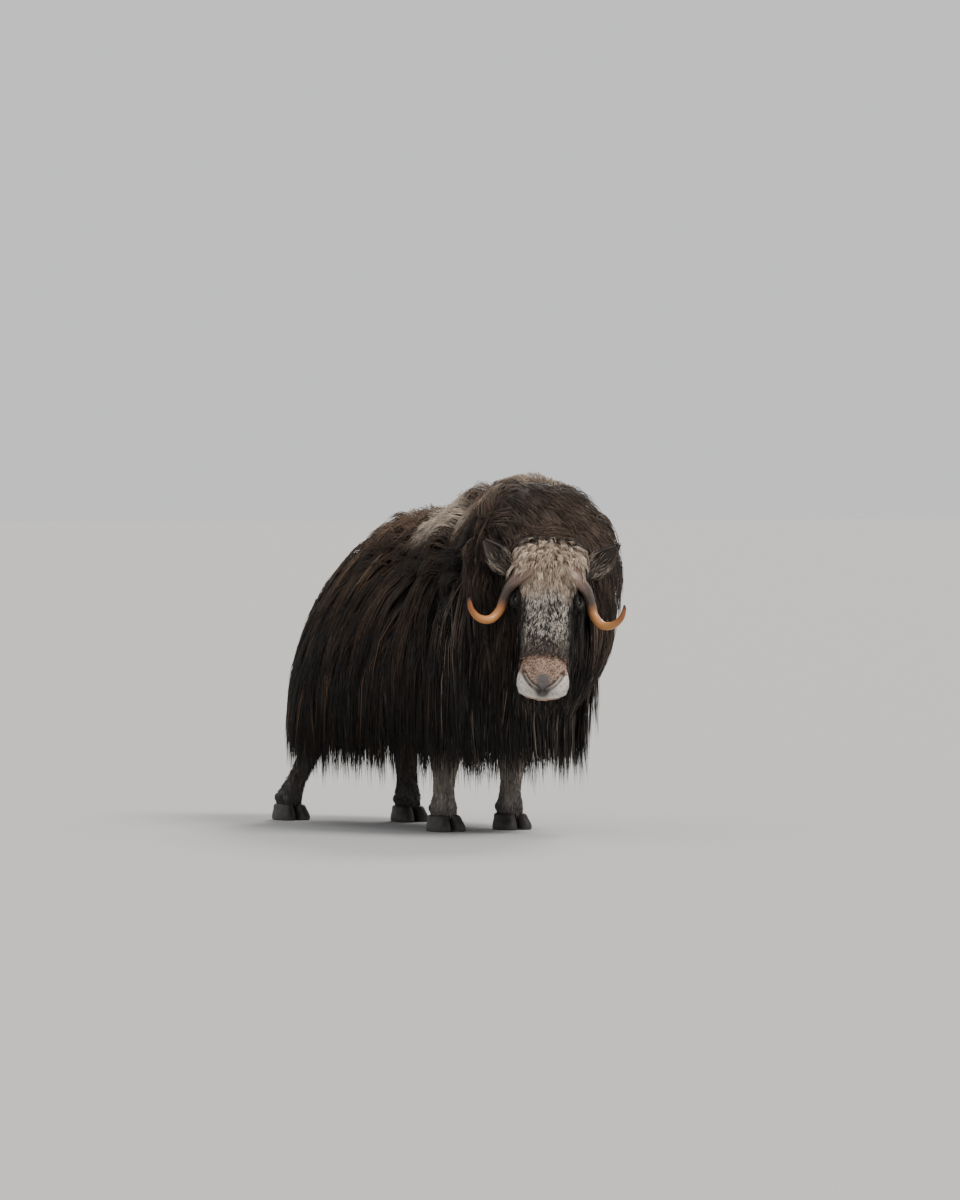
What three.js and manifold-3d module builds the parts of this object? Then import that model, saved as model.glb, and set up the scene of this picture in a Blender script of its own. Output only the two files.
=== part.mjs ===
// A walking muskox, life size, in millimetres: +Z is up, it walks towards -Y and its left side is +X.
// The trunk is one loft along a spine that turns right at the neck. Long locks hang from it in tiers,
// and thin cuts part it into hindquarters, barrel, shoulders and neck. The head is a loft of its own.
import * as THREE from "three";
import { mergeVertices } from "three/addons/utils/BufferGeometryUtils.js";
import Module from "manifold-3d";

const wasm = await Module();
wasm.setup();

// Driving sizes
const GAP = 0.6; // how far a socket's walls stand off what sits in it
const HEAD_TURN = THREE.MathUtils.degToRad(35); // the head looks to the animal's right
const HEAD_DROP = THREE.MathUtils.degToRad(65); // the line from poll to nose points this far below level
const HEAD_ROLL = THREE.MathUtils.degToRad(-3);
const BEND_START = 790; // where the spine starts to turn, ahead of the middle of the feet
const BEND_RADIUS = 340;
const BEND_END = BEND_START + BEND_RADIUS * HEAD_TURN;
const RING_POINTS = 20;
const HALF_COAT = 0.5; // the core holds this share of the coat's depth

// Stations of the trunk with its coat, from rump to throat: distance along the spine, height of the back,
// height of the belly, half width, height where it is widest, squareness above and below that, and the
// depth of the coat
const TRUNK = [
  [-684, 700, 600, 25, 650, 1.3, 2, 30],
  [-672, 790, 540, 80, 600, 1.3, 2.5, 40],
  [-635, 862, 490, 138, 560, 1.3, 3, 50],
  [-570, 940, 460, 196, 530, 1.3, 4, 56],
  [-450, 1036, 435, 272, 530, 1.35, 4, 60],
  [-300, 1098, 420, 336, 550, 1.45, 4, 60],
  [-170, 1168, 412, 364, 580, 1.55, 4, 62],
  [0, 1212, 408, 380, 620, 1.6, 4, 64],
  [200, 1216, 405, 386, 630, 1.62, 4, 64],
  [360, 1224, 405, 386, 650, 1.7, 4, 64],
  [500, 1276, 408, 380, 680, 1.85, 4, 66],
  [630, 1345, 412, 368, 730, 2.05, 3.6, 70],
  [750, 1375, 420, 350, 800, 2.15, 3, 72],
  [830, 1372, 435, 334, 890, 2.15, 2.5, 72],
  [876, 1352, 450, 322, 960, 2.2, 2.2, 70],
  [902, 1318, 480, 294, 970, 2.3, 2.2, 60],
  [920, 1258, 530, 240, 960, 2.3, 2.2, 50],
  [931, 1150, 600, 160, 930, 2.1, 2.2, 40],
  [935, 1000, 720, 70, 850, 2, 2, 30],
];
const TRUNK_KEYS = ["top", "belly", "half", "wide", "roof", "keel", "fur"];
const trunkCurve = new THREE.CubicInterpolant(
  TRUNK.map((row) => row[0]),
  TRUNK.flatMap((row) => row.slice(1)),
  TRUNK_KEYS.length,
);
const TRUNK_REAR = TRUNK[0][0];
const TRUNK_FRONT = TRUNK.at(-1)[0];

// Where the thin cuts cross the spine
const CUTS = [-80, 330, 745];
const CUT_WIDTH = 0.4;
const TRUNK_NODES = ["hindquarters", "barrel", "shoulders", "neck"];

// A seeded random number from 0 to 1, so that every build is the same
function seeded(seed) {
  let state = seed;
  return () => {
    state = (state + 0x6d2b79f5) | 0;
    let t = Math.imul(state ^ (state >>> 15), 1 | state);
    t = (t + Math.imul(t ^ (t >>> 7), 61 | t)) ^ t;
    return ((t ^ (t >>> 14)) >>> 0) / 4294967296;
  };
}

// A point from its distance forward, to the animal's left and up
function place(forward, left, up) {
  return new THREE.Vector3(left, -forward, up);
}

// The sizes of the trunk at a distance along its spine
function trunkSize(along) {
  const values = trunkCurve.evaluate(THREE.MathUtils.clamp(along, TRUNK_REAR, TRUNK_FRONT));
  return Object.fromEntries(TRUNK_KEYS.map((key, i) => [key, values[i]]));
}

// A point of the trunk's own space (along the spine, to its left, up) in the animal's space
function fromSpine(along, side, up) {
  const turn = THREE.MathUtils.clamp((along - BEND_START) / BEND_RADIUS, 0, HEAD_TURN);
  const past = Math.max(along - BEND_END, 0);
  const radius = BEND_RADIUS + side;
  const forward = Math.min(along, BEND_START) + radius * Math.sin(turn) + past * Math.cos(turn);
  const left = radius * Math.cos(turn) - BEND_RADIUS - past * Math.sin(turn);
  return place(forward, left, up);
}

// Half width of the trunk at a height, or 0 outside it. inset is how far its surface is taken in.
function halfWidth(along, up, inset) {
  if (along < TRUNK_REAR + inset || along > TRUNK_FRONT - inset) return 0;
  const size = trunkSize(along);
  const above = up > size.wide;
  const share = above
    ? (up - size.wide) / (size.top - inset - size.wide)
    : (size.wide - up) / (size.wide - size.belly);
  const power = above ? size.roof : size.keel;
  return share >= 1 ? 0 : Math.max(size.half - inset, 0) * (1 - share ** power) ** (1 / power);
}

// Height of the trunk's back at a distance to the side of its middle
function backHeight(along, side, inset) {
  const size = trunkSize(along);
  const share = Math.min(Math.abs(side) / Math.max(size.half - inset, 1), 1);
  return size.wide + (size.top - inset - size.wide) * (1 - share ** size.roof) ** (1 / size.roof);
}

// A closed mesh through rings of points, each ring with the same number of points
function loft(rings) {
  const count = rings[0].length;
  const points = rings.flat();
  const faces = [];
  for (let r = 0; r + 1 < rings.length; r++)
    for (let i = 0; i < count; i++) {
      const next = (i + 1) % count;
      const [a, b, c, d] = [r * count + i, r * count + next, (r + 1) * count + i, (r + 1) * count + next];
      faces.push(a, b, d, a, d, c);
    }
  for (const [start, turned] of [[0, true], [(rings.length - 1) * count, false]]) {
    const middle = new THREE.Vector3();
    for (let i = 0; i < count; i++) middle.addScaledVector(points[start + i], 1 / count);
    points.push(middle);
    for (let i = 0; i < count; i++) {
      const pair = [start + i, start + ((i + 1) % count)];
      if (turned) pair.reverse();
      faces.push(points.length - 1, ...pair);
    }
  }
  return new THREE.BufferGeometry().setFromPoints(points).setIndex(faces);
}

// A ring of points from a function of the angle round it
function ring(count, pointAt, first = 0) {
  return Array.from({ length: count }, (_, i) => pointAt(((i + first) / count) * Math.PI * 2));
}

// A three.js geometry as a solid that can be joined and cut. swell moves its whole surface outwards.
function solid(geometry, swell = 0) {
  const plain = geometry.clone();
  plain.deleteAttribute("normal");
  plain.deleteAttribute("uv");
  const merged = mergeVertices(plain, 1e-3);
  const faces = new Uint32Array(merged.index.array);
  const points = new Float32Array(merged.attributes.position.array);
  const data = { numProp: 3, vertProperties: points, triVerts: faces };
  const make = () => new wasm.Manifold(new wasm.Mesh(data));
  if (make().volume() < 0)
    for (let i = 0; i < faces.length; i += 3) [faces[i + 1], faces[i + 2]] = [faces[i + 2], faces[i + 1]];
  if (swell) {
    merged.setIndex(new THREE.BufferAttribute(faces, 1)).computeVertexNormals();
    const normals = merged.attributes.normal.array;
    for (let i = 0; i < points.length; i++) points[i] += normals[i] * swell;
  }
  return make();
}

const join = (pieces) => wasm.Manifold.union(pieces);
const largest = (shape) => shape.decompose().reduce((a, b) => (a.volume() > b.volume() ? a : b));

// A solid back as a geometry
function geometryOf(shape) {
  const { vertProperties, triVerts, numProp } = shape.getMesh();
  const position = new Float32Array((vertProperties.length / numProp) * 3);
  for (let i = 0; i < position.length / 3; i++)
    position.set(vertProperties.subarray(i * numProp, i * numProp + 3), i * 3);
  return new THREE.BufferGeometry()
    .setAttribute("position", new THREE.BufferAttribute(position, 3))
    .setIndex(new THREE.BufferAttribute(triVerts, 1));
}

// The largest closed surface of a solid as a named mesh. Merging its points can pinch it, so it is
// chosen twice.
function node(name, shape, material) {
  const geometry = geometryOf(largest(solid(geometryOf(largest(shape)))));
  geometry.computeVertexNormals();
  const mesh = new THREE.Mesh(geometry, material);
  mesh.name = name;
  return mesh;
}

// The trunk's core: the body with the inner half of its coat
const CORE_STATIONS = [
  -676, -662, -630, -575, -500, -400, -290, -190, -90, 40, 180, 310, 420, 520, 610, 690, 760, 820, 864,
  892, 912, 924, 930,
];
function trunkCore() {
  return loft(
    CORE_STATIONS.map((along) => {
      const size = trunkSize(along);
      const inset = size.fur * HALF_COAT;
      const pointAt = (angle) => {
        const [across, rise] = [Math.cos(angle), Math.sin(angle)];
        const power = rise > 0 ? size.roof : size.keel;
        const reach = (Math.abs(across) ** power + Math.abs(rise) ** power) ** (-1 / power);
        const height = rise > 0 ? size.top - inset - size.wide : size.wide - size.belly;
        return fromSpine(along, across * reach * (size.half - inset), size.wide + rise * reach * height);
      };
      return ring(RING_POINTS, pointAt, 0.5);
    }),
  );
}

// A flat, tapered lock through points, with a ridge on its outer side. outs holds each point's outward
// direction.
const LOCK_TAPER = [0.75, 1, 0.66];
function lock(path, outs, width, thickness) {
  const rings = path.slice(0, -1).map((point, i) => {
    const along = path[i + 1].clone().sub(path[Math.max(i - 1, 0)]).normalize();
    const across = along.clone().cross(outs[i]).normalize();
    const half = (width / 2) * LOCK_TAPER[i];
    return [
      point.clone().addScaledVector(across, half),
      point.clone().addScaledVector(across, -half),
      point.clone().addScaledVector(outs[i], thickness * LOCK_TAPER[i]),
    ];
  });
  const tip = path.at(-1);
  return loft([...rings, rings[0].map(() => tip)]);
}

// The coat's locks hang from places round the trunk, seen from above: both flanks, the rump and the chest
const AXIS = { rear: -440, front: 800 };
const FLANK = AXIS.front - AXIS.rear;
const FAN = { rear: 700, front: 760 };
const ROUND = 2 * FLANK + FAN.rear + FAN.front;

// A place round the trunk: where its ray leaves the spine, and the ray's direction
function around(share) {
  let run = (((share % 1) + 1) % 1) * ROUND;
  if (run < FLANK) return { start: AXIS.rear + run, ahead: 0, side: 1 };
  run -= FLANK;
  if (run < FAN.front) {
    const angle = (run / FAN.front) * Math.PI;
    return { start: AXIS.front, ahead: Math.sin(angle), side: Math.cos(angle) };
  }
  run -= FAN.front;
  if (run < FLANK) return { start: AXIS.front - run, ahead: 0, side: -1 };
  const angle = ((run - FLANK) / FAN.rear) * Math.PI;
  return { start: AXIS.rear, ahead: -Math.sin(angle), side: -Math.cos(angle) };
}

// How far along its ray the trunk's surface lies at a height
function reachAt(ray, up, inset) {
  let [near, far] = [0, 700];
  for (let i = 0; i < 16; i++) {
    const middle = (near + far) / 2;
    const inside = Math.abs(ray.side * middle) < halfWidth(ray.start + ray.ahead * middle, up, inset);
    if (inside) near = middle;
    else far = middle;
  }
  return near;
}

// Tiers of hanging locks: height of the roots as a share of the trunk's height there, length, width,
// how many, and how far the tips are swept back
const TIERS = [
  { share: 0.68, length: 330, width: 140, count: 20, sweep: 0.25 },
  { share: 0.44, length: 370, width: 138, count: 23, sweep: 0.16 },
  { share: 0.24, length: 350, width: 130, count: 26, sweep: 0.1 },
  { share: 0.08, length: 255, width: 114, count: 29, sweep: 0.05 },
];
const LOCK_STEPS = 3;
const LOCK_THICK = 24;
const ROOT_DEPTH = 38;
const CURTAIN_HEIGHT = 60; // above the belly, the height whose width the hanging locks keep
// No locks hang from the neck in front of this place, above this share of its height
const HEAD_CLEAR = { ahead: 0.7, share: 0.4 };
const HANG = 0.94; // at each step down, hair keeps at least this share of its distance from the middle
const TIP_LIFT = 0.9; // share of the core's inset by which a hanging lock's tip stands off the core

function hangingLock(share, tier, random) {
  const ray = around(share);
  const at = trunkSize(ray.start);
  const length = tier.length * (0.85 + 0.3 * random());
  const rootUp = at.belly + tier.share * (at.top - at.belly) + 50 * (random() - 0.5);
  const sweep = tier.sweep * length * (0.7 + 0.6 * random()) * Math.abs(ray.side);
  const curl = 30 * (random() - 0.5);
  const width = tier.width * (0.85 + 0.3 * random());
  if (ray.ahead > HEAD_CLEAR.ahead && tier.share > HEAD_CLEAR.share) return null;
  const path = [];
  const outs = [];
  let reach = 0;
  for (let i = 0; i <= LOCK_STEPS; i++) {
    const run = i / LOCK_STEPS;
    const up = rootUp - length * run;
    const here = { ...ray, start: ray.start - sweep * run + curl * Math.sin(run * Math.PI) };
    const size = trunkSize(here.start);
    const core = size.fur * HALF_COAT;
    reach = Math.max(reachAt(here, Math.max(up, size.belly + CURTAIN_HEIGHT), core), reach * HANG);
    const lift = i === 0 ? -ROOT_DEPTH : core * TIP_LIFT * run ** 1.5;
    const inner = fromSpine(here.start, 0, up);
    path.push(fromSpine(here.start + here.ahead * (reach + lift), here.side * (reach + lift), up));
    const rising = THREE.MathUtils.clamp((up - size.wide) / (size.top - size.wide), 0, 1) ** 2;
    outs.push(path[i].clone().sub(inner).setZ(path[i].distanceTo(inner) * rising).normalize());
  }
  return lock(path, outs, width, LOCK_THICK);
}

// Locks that lie on the back: in rows along the spine, at a share of the trunk's half width. lift is a
// tip's height off the core as a share of the core's inset.
const BACK = {
  rear: -480,
  front: 855,
  step: 160,
  rows: [-0.55, -0.18, 0.18, 0.55],
  length: 200,
  width: 124,
  thickness: 17,
  lift: 0.3,
};
// Back locks lie straight back behind the first of these places, and straight out to the side ahead of
// the last
const FULL_SWEEP = { at: 350, none: 900 };

function backLock(along, row, random) {
  const from = along + BACK.step * 0.5 * (random() - 0.5);
  const reach = (FULL_SWEEP.none - from) / (FULL_SWEEP.none - FULL_SWEEP.at);
  const back = 0.9 * THREE.MathUtils.clamp(reach, 0, 1);
  const length = BACK.length * (0.85 + 0.3 * random());
  const width = BACK.width * (0.85 + 0.3 * random());
  const path = [];
  const outs = [];
  for (let i = 0; i <= LOCK_STEPS; i++) {
    const run = i / LOCK_STEPS;
    const here = from - back * length * run;
    const size = trunkSize(here);
    const core = size.fur * HALF_COAT;
    const half = size.half - core;
    const reach = row * (size.half - core) + Math.sign(row) * (1 - 0.9 * back) * length * run * 0.8;
    const side = THREE.MathUtils.clamp(reach, -0.86 * half, 0.86 * half);
    const up = backHeight(here, side, core);
    const lift = i === 0 ? -ROOT_DEPTH : core * BACK.lift * run ** 1.5;
    const slope = (backHeight(here, side + 10, core) - backHeight(here, side - 10, core)) / 20;
    const climb = (backHeight(here + 10, side, core) - backHeight(here - 10, side, core)) / 20;
    const inner = fromSpine(here, side, up);
    const out = fromSpine(here - climb, side - slope, up + 1).sub(inner).normalize();
    path.push(inner.addScaledVector(out, lift));
    outs.push(out);
  }
  return lock(path, outs, width, BACK.thickness);
}

function coatLocks() {
  const random = seeded(7);
  const hanging = TIERS.flatMap((tier, row) =>
    Array.from({ length: tier.count }, (_, i) =>
      hangingLock((i + 0.5 * (row % 2) + 0.4 * (random() - 0.5)) / tier.count, tier, random),
    ),
  );
  const lying = [];
  for (let along = BACK.rear; along <= BACK.front; along += BACK.step)
    for (const row of BACK.rows) lying.push(backLock(along, row, random));
  return [...hanging.filter(Boolean), ...lying].map((piece) => solid(piece));
}

// The head's own space: side to the animal's left, along from poll to nose, rise out of the forehead
const POLL = place(945, -16, 1044);
const headAhead = place(Math.cos(HEAD_TURN), -Math.sin(HEAD_TURN), 0);
const headUp = place(0, 0, 1);
const headAlong = headAhead.clone().multiplyScalar(Math.cos(HEAD_DROP));
headAlong.addScaledVector(headUp, -Math.sin(HEAD_DROP));
const headRise = headAhead.clone().multiplyScalar(Math.sin(HEAD_DROP));
headRise.addScaledVector(headUp, Math.cos(HEAD_DROP));
const headSide = place(Math.sin(HEAD_TURN), Math.cos(HEAD_TURN), 0);
for (const axis of [headAlong, headRise, headSide]) axis.applyAxisAngle(headAhead, HEAD_ROLL);
function inHead(side, along, rise) {
  return POLL.clone()
    .addScaledVector(headSide, side)
    .addScaledVector(headAlong, along)
    .addScaledVector(headRise, rise);
}
const SIDES = { left: 1, right: -1 };
const bothSides = (make) => Object.values(SIDES).map(make);

// Stations of the head from the nape to the nose: distance from the poll, half width, rise and depth
// from its axis
const HEAD = [
  [-72, 98, 8, 122],
  [-30, 124, 40, 140],
  [25, 136, 92, 149],
  [85, 137, 115, 152],
  [150, 129, 113, 152],
  [210, 115, 103, 147],
  [270, 101, 93, 136],
  [335, 89, 85, 120],
  [400, 84, 79, 103],
  [455, 87, 74, 92],
  [505, 94, 68, 84],
  [540, 93, 57, 72],
  [563, 78, 42, 56],
  [576, 50, 20, 32],
];
const HEAD_RING = 22;
const HEAD_SQUARE = 2.3;
const JAW_NARROWING = 0.34;
function headLoft() {
  return loft(
    HEAD.map(([along, half, rise, depth]) =>
      ring(HEAD_RING, (angle) => {
        const [across, up] = [Math.cos(angle), Math.sin(angle)];
        const reach = (Math.abs(across) ** HEAD_SQUARE + Math.abs(up) ** HEAD_SQUARE) ** (-1 / HEAD_SQUARE);
        const narrowed = up < 0 ? 1 - JAW_NARROWING * up * up : 1;
        return inHead(across * reach * half * narrowed, along, up * reach * (up > 0 ? rise : depth));
      }),
    ),
  );
}

// An ellipsoid in the head's space. facing turns its third axis from the rise towards the side.
function headBall(side, along, rise, radii, segments = 12, facing = 0) {
  const ball = new THREE.SphereGeometry(1, segments, Math.round(segments * 0.7));
  const out = headRise.clone().multiplyScalar(Math.cos(facing)).addScaledVector(headSide, Math.sin(facing));
  const across = headAlong.clone().cross(out);
  const turned = new THREE.Matrix4().makeBasis(
    across.multiplyScalar(radii[0]),
    headAlong.clone().multiplyScalar(radii[1]),
    out.multiplyScalar(radii[2]),
  );
  return ball.applyMatrix4(turned.setPosition(inHead(side, along, rise)));
}

// A tube through points of the head's space. Each size is its half width across the head's surface and
// its half thickness.
function headTube(points, sizes, sides = 8, steps = (points.length - 1) * 2) {
  const curve = new THREE.CatmullRomCurve3(points.map((p) => inHead(...p)));
  return loft(
    Array.from({ length: steps + 1 }, (_, step) => {
      const share = step / steps;
      const spot = share * (sizes.length - 1);
      const lower = Math.min(Math.floor(spot), sizes.length - 2);
      const [before, after] = [sizes[lower], sizes[lower + 1]];
      const [wide, thick] = before.map((v, i) => THREE.MathUtils.lerp(v, after[i], spot - lower));
      const centre = curve.getPoint(share);
      const tangent = curve.getTangent(share);
      const out = centre.clone().sub(POLL);
      out.addScaledVector(headAlong, -out.dot(headAlong)).addScaledVector(headRise, 1);
      out.addScaledVector(tangent, -out.dot(tangent)).normalize();
      const across = tangent.clone().cross(out);
      return ring(sides, (angle) =>
        centre
          .clone()
          .addScaledVector(out, Math.cos(angle) * thick)
          .addScaledVector(across, Math.sin(angle) * wide),
      );
    }),
  );
}

// The head's size at a distance from the poll: half width, rise and depth
const headPlaces = HEAD.map((row) => row[0]);
const headCurve = new THREE.LinearInterpolant(headPlaces, HEAD.flatMap((row) => row.slice(1)), 3);

// Pale locks lie down the forehead between the horns: side, distance of the root from the poll
const FORELOCKS = [
  [-74, 30],
  [-24, 8],
  [28, 12],
  [78, 32],
  [-46, 92],
  [4, 84],
  [52, 96],
  [-22, 160],
  [28, 166],
];
const FORELOCK = { length: 150, width: 66, thickness: 13, sink: 14 };
function forelock([side, along], random) {
  const length = FORELOCK.length * (0.85 + 0.3 * random());
  const path = Array.from({ length: LOCK_STEPS + 1 }, (_, i) => {
    const at = along + (length * i) / LOCK_STEPS;
    const [half, rise] = headCurve.evaluate(at);
    const x = side * (1 + 0.12 * i);
    const surface = rise * (1 - Math.min(Math.abs(x) / half, 1) ** HEAD_SQUARE) ** (1 / HEAD_SQUARE);
    return inHead(x, at, surface + (i === 0 ? -FORELOCK.sink : 3 + 2 * i));
  });
  return lock(path, path.map(() => headRise.clone()), FORELOCK.width, FORELOCK.thickness);
}

// The beard hangs from the jaw and throat: side as a share of the half width, distance from the poll,
// length
const BEARD = [
  [-0.85, 300, 250],
  [-0.55, 385, 210],
  [-0.6, 470, 120],
  [0, 425, 200],
  [0, 510, 110],
  [0.6, 470, 120],
  [0.55, 385, 210],
  [0.85, 300, 250],
  [0, 330, 250],
];
const BEARD_WIDTH = 74;
const BEARD_BEND = 0.12;
function beardLock([share, along, length], random) {
  const [half, , depth] = headCurve.evaluate(along);
  const low = -depth * (1 - Math.abs(share) ** HEAD_SQUARE) ** (1 / HEAD_SQUARE);
  const root = inHead(share * half * (1 - JAW_NARROWING * 0.8), along, low * 0.8);
  const out = headAhead.clone().addScaledVector(headSide, share).normalize();
  const fall = length * (0.9 + 0.2 * random());
  const path = Array.from({ length: LOCK_STEPS + 1 }, (_, i) => {
    const run = i / LOCK_STEPS;
    const back = BEARD_BEND * fall * run * run;
    return root.clone().addScaledVector(headAhead, -back).add(place(0, 0, -fall * run));
  });
  return lock(path, path.map(() => out), BEARD_WIDTH, LOCK_THICK);
}

function headLocks() {
  const random = seeded(3);
  return [...FORELOCKS.map((row) => forelock(row, random)), ...BEARD.map((row) => beardLock(row, random))];
}

// Eyes look out and a little forward. The brow is the bony bulge round each, with lids round the opening.
const EYE = { side: 104, along: 214, rise: 40, radius: 19, facing: THREE.MathUtils.degToRad(52) };
const BROW = { side: 97, radii: [34, 42, 36] };
const EYE_OPENING = { out: 17, radii: [12, 20, 20] };
const LID = { half: 22, height: 13, out: 14, size: 5.5, points: 7 };

const EYE_AXES = [EYE.radius, EYE.radius, EYE.radius];
const eye = (side) => headBall(side * EYE.side, EYE.along, EYE.rise, EYE_AXES, 12);

function brow(side) {
  return headBall(side * BROW.side, EYE.along, EYE.rise, BROW.radii, 10, side * EYE.facing);
}

function eyeOpening(side) {
  const [sideways, rising] = [Math.sin(EYE.facing) * side, Math.cos(EYE.facing)];
  const at = [EYE.side * side + sideways * EYE_OPENING.out, EYE.along, EYE.rise + rising * EYE_OPENING.out];
  return headBall(...at, EYE_OPENING.radii, 10, side * EYE.facing);
}

// One lid as an arc over the eye: upper is +1 above the opening, -1 below it
function lid(side, upper) {
  const [sideways, rising] = [Math.sin(EYE.facing) * side, Math.cos(EYE.facing)];
  const points = Array.from({ length: LID.points }, (_, i) => {
    const angle = (i / (LID.points - 1)) * Math.PI;
    const high = upper * Math.sin(angle) * LID.height;
    const out = LID.out + 5 * Math.sin(angle);
    return [
      EYE.side * side + sideways * out - rising * high * side,
      EYE.along - Math.cos(angle) * LID.half,
      EYE.rise + rising * out + Math.sin(EYE.facing) * high,
    ];
  });
  return headTube(points, [[2, 2], [LID.size, LID.size], [2, 2]], 5, LID.points - 1);
}

// Nostrils are slanted slits, and the mouth line runs round the front of the muzzle between two rolled lips
const NOSTRIL = [[72, 508, 50], [52, 540, 60], [30, 560, 54], [13, 570, 42]];
const NOSTRIL_SIZES = [[5, 9], [9, 12], [7, 10], [3, 7]];
const MOUTH = [[84, 462, -34], [93, 505, -26], [84, 545, -18], [52, 571, -12], [18, 580, -10]];
const mirrored = (points) => points.map(([x, y, z]) => [-x, y, z]);
const roundMuzzle = (points) => [...points, ...mirrored(points).reverse()];
const LIP_OFFSET = 13;
const LIP_SIZE = 11;
const MOUTH_GROOVE = 4.5;
function lip(upper) {
  const points = MOUTH.map(([x, y, z]) => [x * 0.93, y - 5, z + upper * LIP_OFFSET]);
  return headTube(roundMuzzle(points), [[3, 3], [LIP_SIZE, LIP_SIZE], [LIP_SIZE, LIP_SIZE], [3, 3]], 5, 12);
}

// Horns lie flat on the forehead, drop behind the eyes and curve out, forward and up to a point
const HORN_PATH = [
  [28, 86, 100],
  [70, 114, 104],
  [110, 146, 90],
  [142, 173, 54],
  [159, 205, 18],
  [173, 247, 6],
  [204, 287, 15],
  [243, 299, 45],
  [272, 285, 80],
  [282, 260, 104],
  [281, 246, 113],
];
const HORN_SIZES = [
  [33, 14],
  [38, 18],
  [32, 19],
  [25, 19],
  [20, 18],
  [17.5, 17],
  [16, 16],
  [14, 14],
  [11, 11],
  [7.5, 7.5],
  [3, 3],
];
function horn(side) {
  return headTube(
    HORN_PATH.map(([x, y, z]) => [side * x, y, z]),
    HORN_SIZES,
    10,
  );
}

// The cup of an ear: a curved shell that opens forward, with a narrow root and a rounded tip. room makes
// it fatter.
const EAR = { root: [132, 106, 22], tip: [244, 0, 78], half: 45, wall: 10, curl: 0.7 };
const EAR_ROOM = 1.5;
const EAR_WIDTHS = [0.42, 0.8, 1, 1, 0.82, 0.55, 0.2];
function ear(side, room = 0) {
  const root = inHead(side * EAR.root[0], EAR.root[1], EAR.root[2]);
  const tip = inHead(side * EAR.tip[0], EAR.tip[1], EAR.tip[2]);
  const line = tip.clone().sub(root).normalize();
  tip.addScaledVector(line, 2 * room);
  const open = headRise.clone().addScaledVector(headAlong, 0.3);
  open.addScaledVector(line, -open.dot(line)).normalize();
  const across = line.clone().cross(open).normalize();
  const bowl = (x) => -Math.sqrt(Math.max(1 - x * x, 0)) * EAR.curl;
  return loft(
    EAR_WIDTHS.map((share, row) => {
      const centre = root.clone().lerp(tip, row / (EAR_WIDTHS.length - 1));
      const half = EAR.half * share;
      const wall = EAR.wall * (0.5 + 0.5 * share);
      const back = [-0.75, -0.3, 0.3, 0.75].map((x) => [x * (half + room), bowl(x) * half - room]);
      const hollow = Math.max(half - wall - room, 1);
      const front = [0.8, 0.3, -0.3, -0.8].map((x) => [x * hollow, bowl(x) * hollow + 0.2 * wall + room]);
      const rims = [-1, 1].map((x) => [x * (half + room), room]);
      return [rims[0], ...back, rims[1], ...front].map(([x, y]) =>
        centre.clone().addScaledVector(across, x).addScaledVector(open, y),
      );
    }),
  );
}

// Legs as tubes through stations: forward, left, up, half width, half length
const LEGS = {
  front_right: [
    [462, -160, 600, 78, 105],
    [466, -158, 470, 70, 84],
    [458, -152, 350, 66, 70],
    [450, -148, 285, 60, 64],
    [440, -146, 205, 45, 50],
    [432, -144, 140, 42, 47],
    [428, -142, 100, 50, 56],
    [430, -142, 62, 49, 54],
  ],
  front_left: [
    [470, 160, 600, 78, 105],
    [474, 158, 470, 70, 84],
    [470, 152, 350, 66, 70],
    [464, 148, 285, 60, 64],
    [456, 146, 205, 45, 50],
    [450, 144, 140, 42, 47],
    [449, 142, 100, 50, 56],
    [452, 142, 62, 49, 54],
  ],
  hind_right: [
    [-352, -150, 600, 90, 130],
    [-372, -152, 480, 74, 96],
    [-404, -154, 385, 58, 74],
    [-440, -158, 310, 50, 60],
    [-502, -164, 220, 42, 50],
    [-560, -170, 148, 42, 50],
    [-592, -174, 104, 50, 58],
    [-598, -175, 62, 49, 54],
  ],
  hind_left: [
    [-262, 150, 600, 90, 130],
    [-268, 150, 480, 74, 92],
    [-278, 146, 385, 58, 72],
    [-270, 142, 310, 50, 58],
    [-252, 138, 220, 42, 50],
    [-242, 136, 148, 42, 49],
    [-238, 135, 104, 50, 57],
    [-236, 135, 62, 49, 54],
  ],
};
const LEG_SIDES = 12;
function leg(stations) {
  return loft(
    stations.map(([forward, left, up, half, deep]) =>
      ring(LEG_SIDES, (angle) =>
        place(forward + Math.sin(angle) * deep, left + Math.cos(angle) * half, up),
      ),
    ),
  );
}

// One toe of a hoof: flat sole, round outer edge, straight inner edge and sloping front
const TOE = { length: 128, width: 62, height: 62 - CUT_WIDTH, cleft: 5, points: 10, ahead: 14 };
const TOE_RINGS = [
  { up: 0, size: 0.96, back: 0 },
  { up: 12, size: 1, back: 0 },
  { up: 40, size: 0.88, back: 6 },
  { up: TOE.height, size: 0.72, back: 14 },
];
function toe(forward, left, side) {
  return loft(
    TOE_RINGS.map(({ up, size, back }) =>
      ring(TOE.points, (angle) => {
        const across = TOE.cleft / 2 + ((1 + Math.cos(angle)) / 2) * TOE.width * size;
        const ahead = TOE.ahead - back + Math.sin(angle) * (TOE.length / 2) * size;
        return place(forward + ahead, left + side * across, up);
      }),
    ),
  );
}

// One dewclaw: a small blunt cone behind the fetlock
const DEWCLAW = { radius: 14, length: 40, tilt: 0.94 * Math.PI, behind: 47, side: 22, up: 84 };
function dewclaw(forward, left, side) {
  const claw = new THREE.ConeGeometry(DEWCLAW.radius, DEWCLAW.length, 8).rotateX(DEWCLAW.tilt);
  const at = place(forward - DEWCLAW.behind, left + side * DEWCLAW.side, DEWCLAW.up);
  return claw.translate(at.x, at.y, at.z);
}

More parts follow.
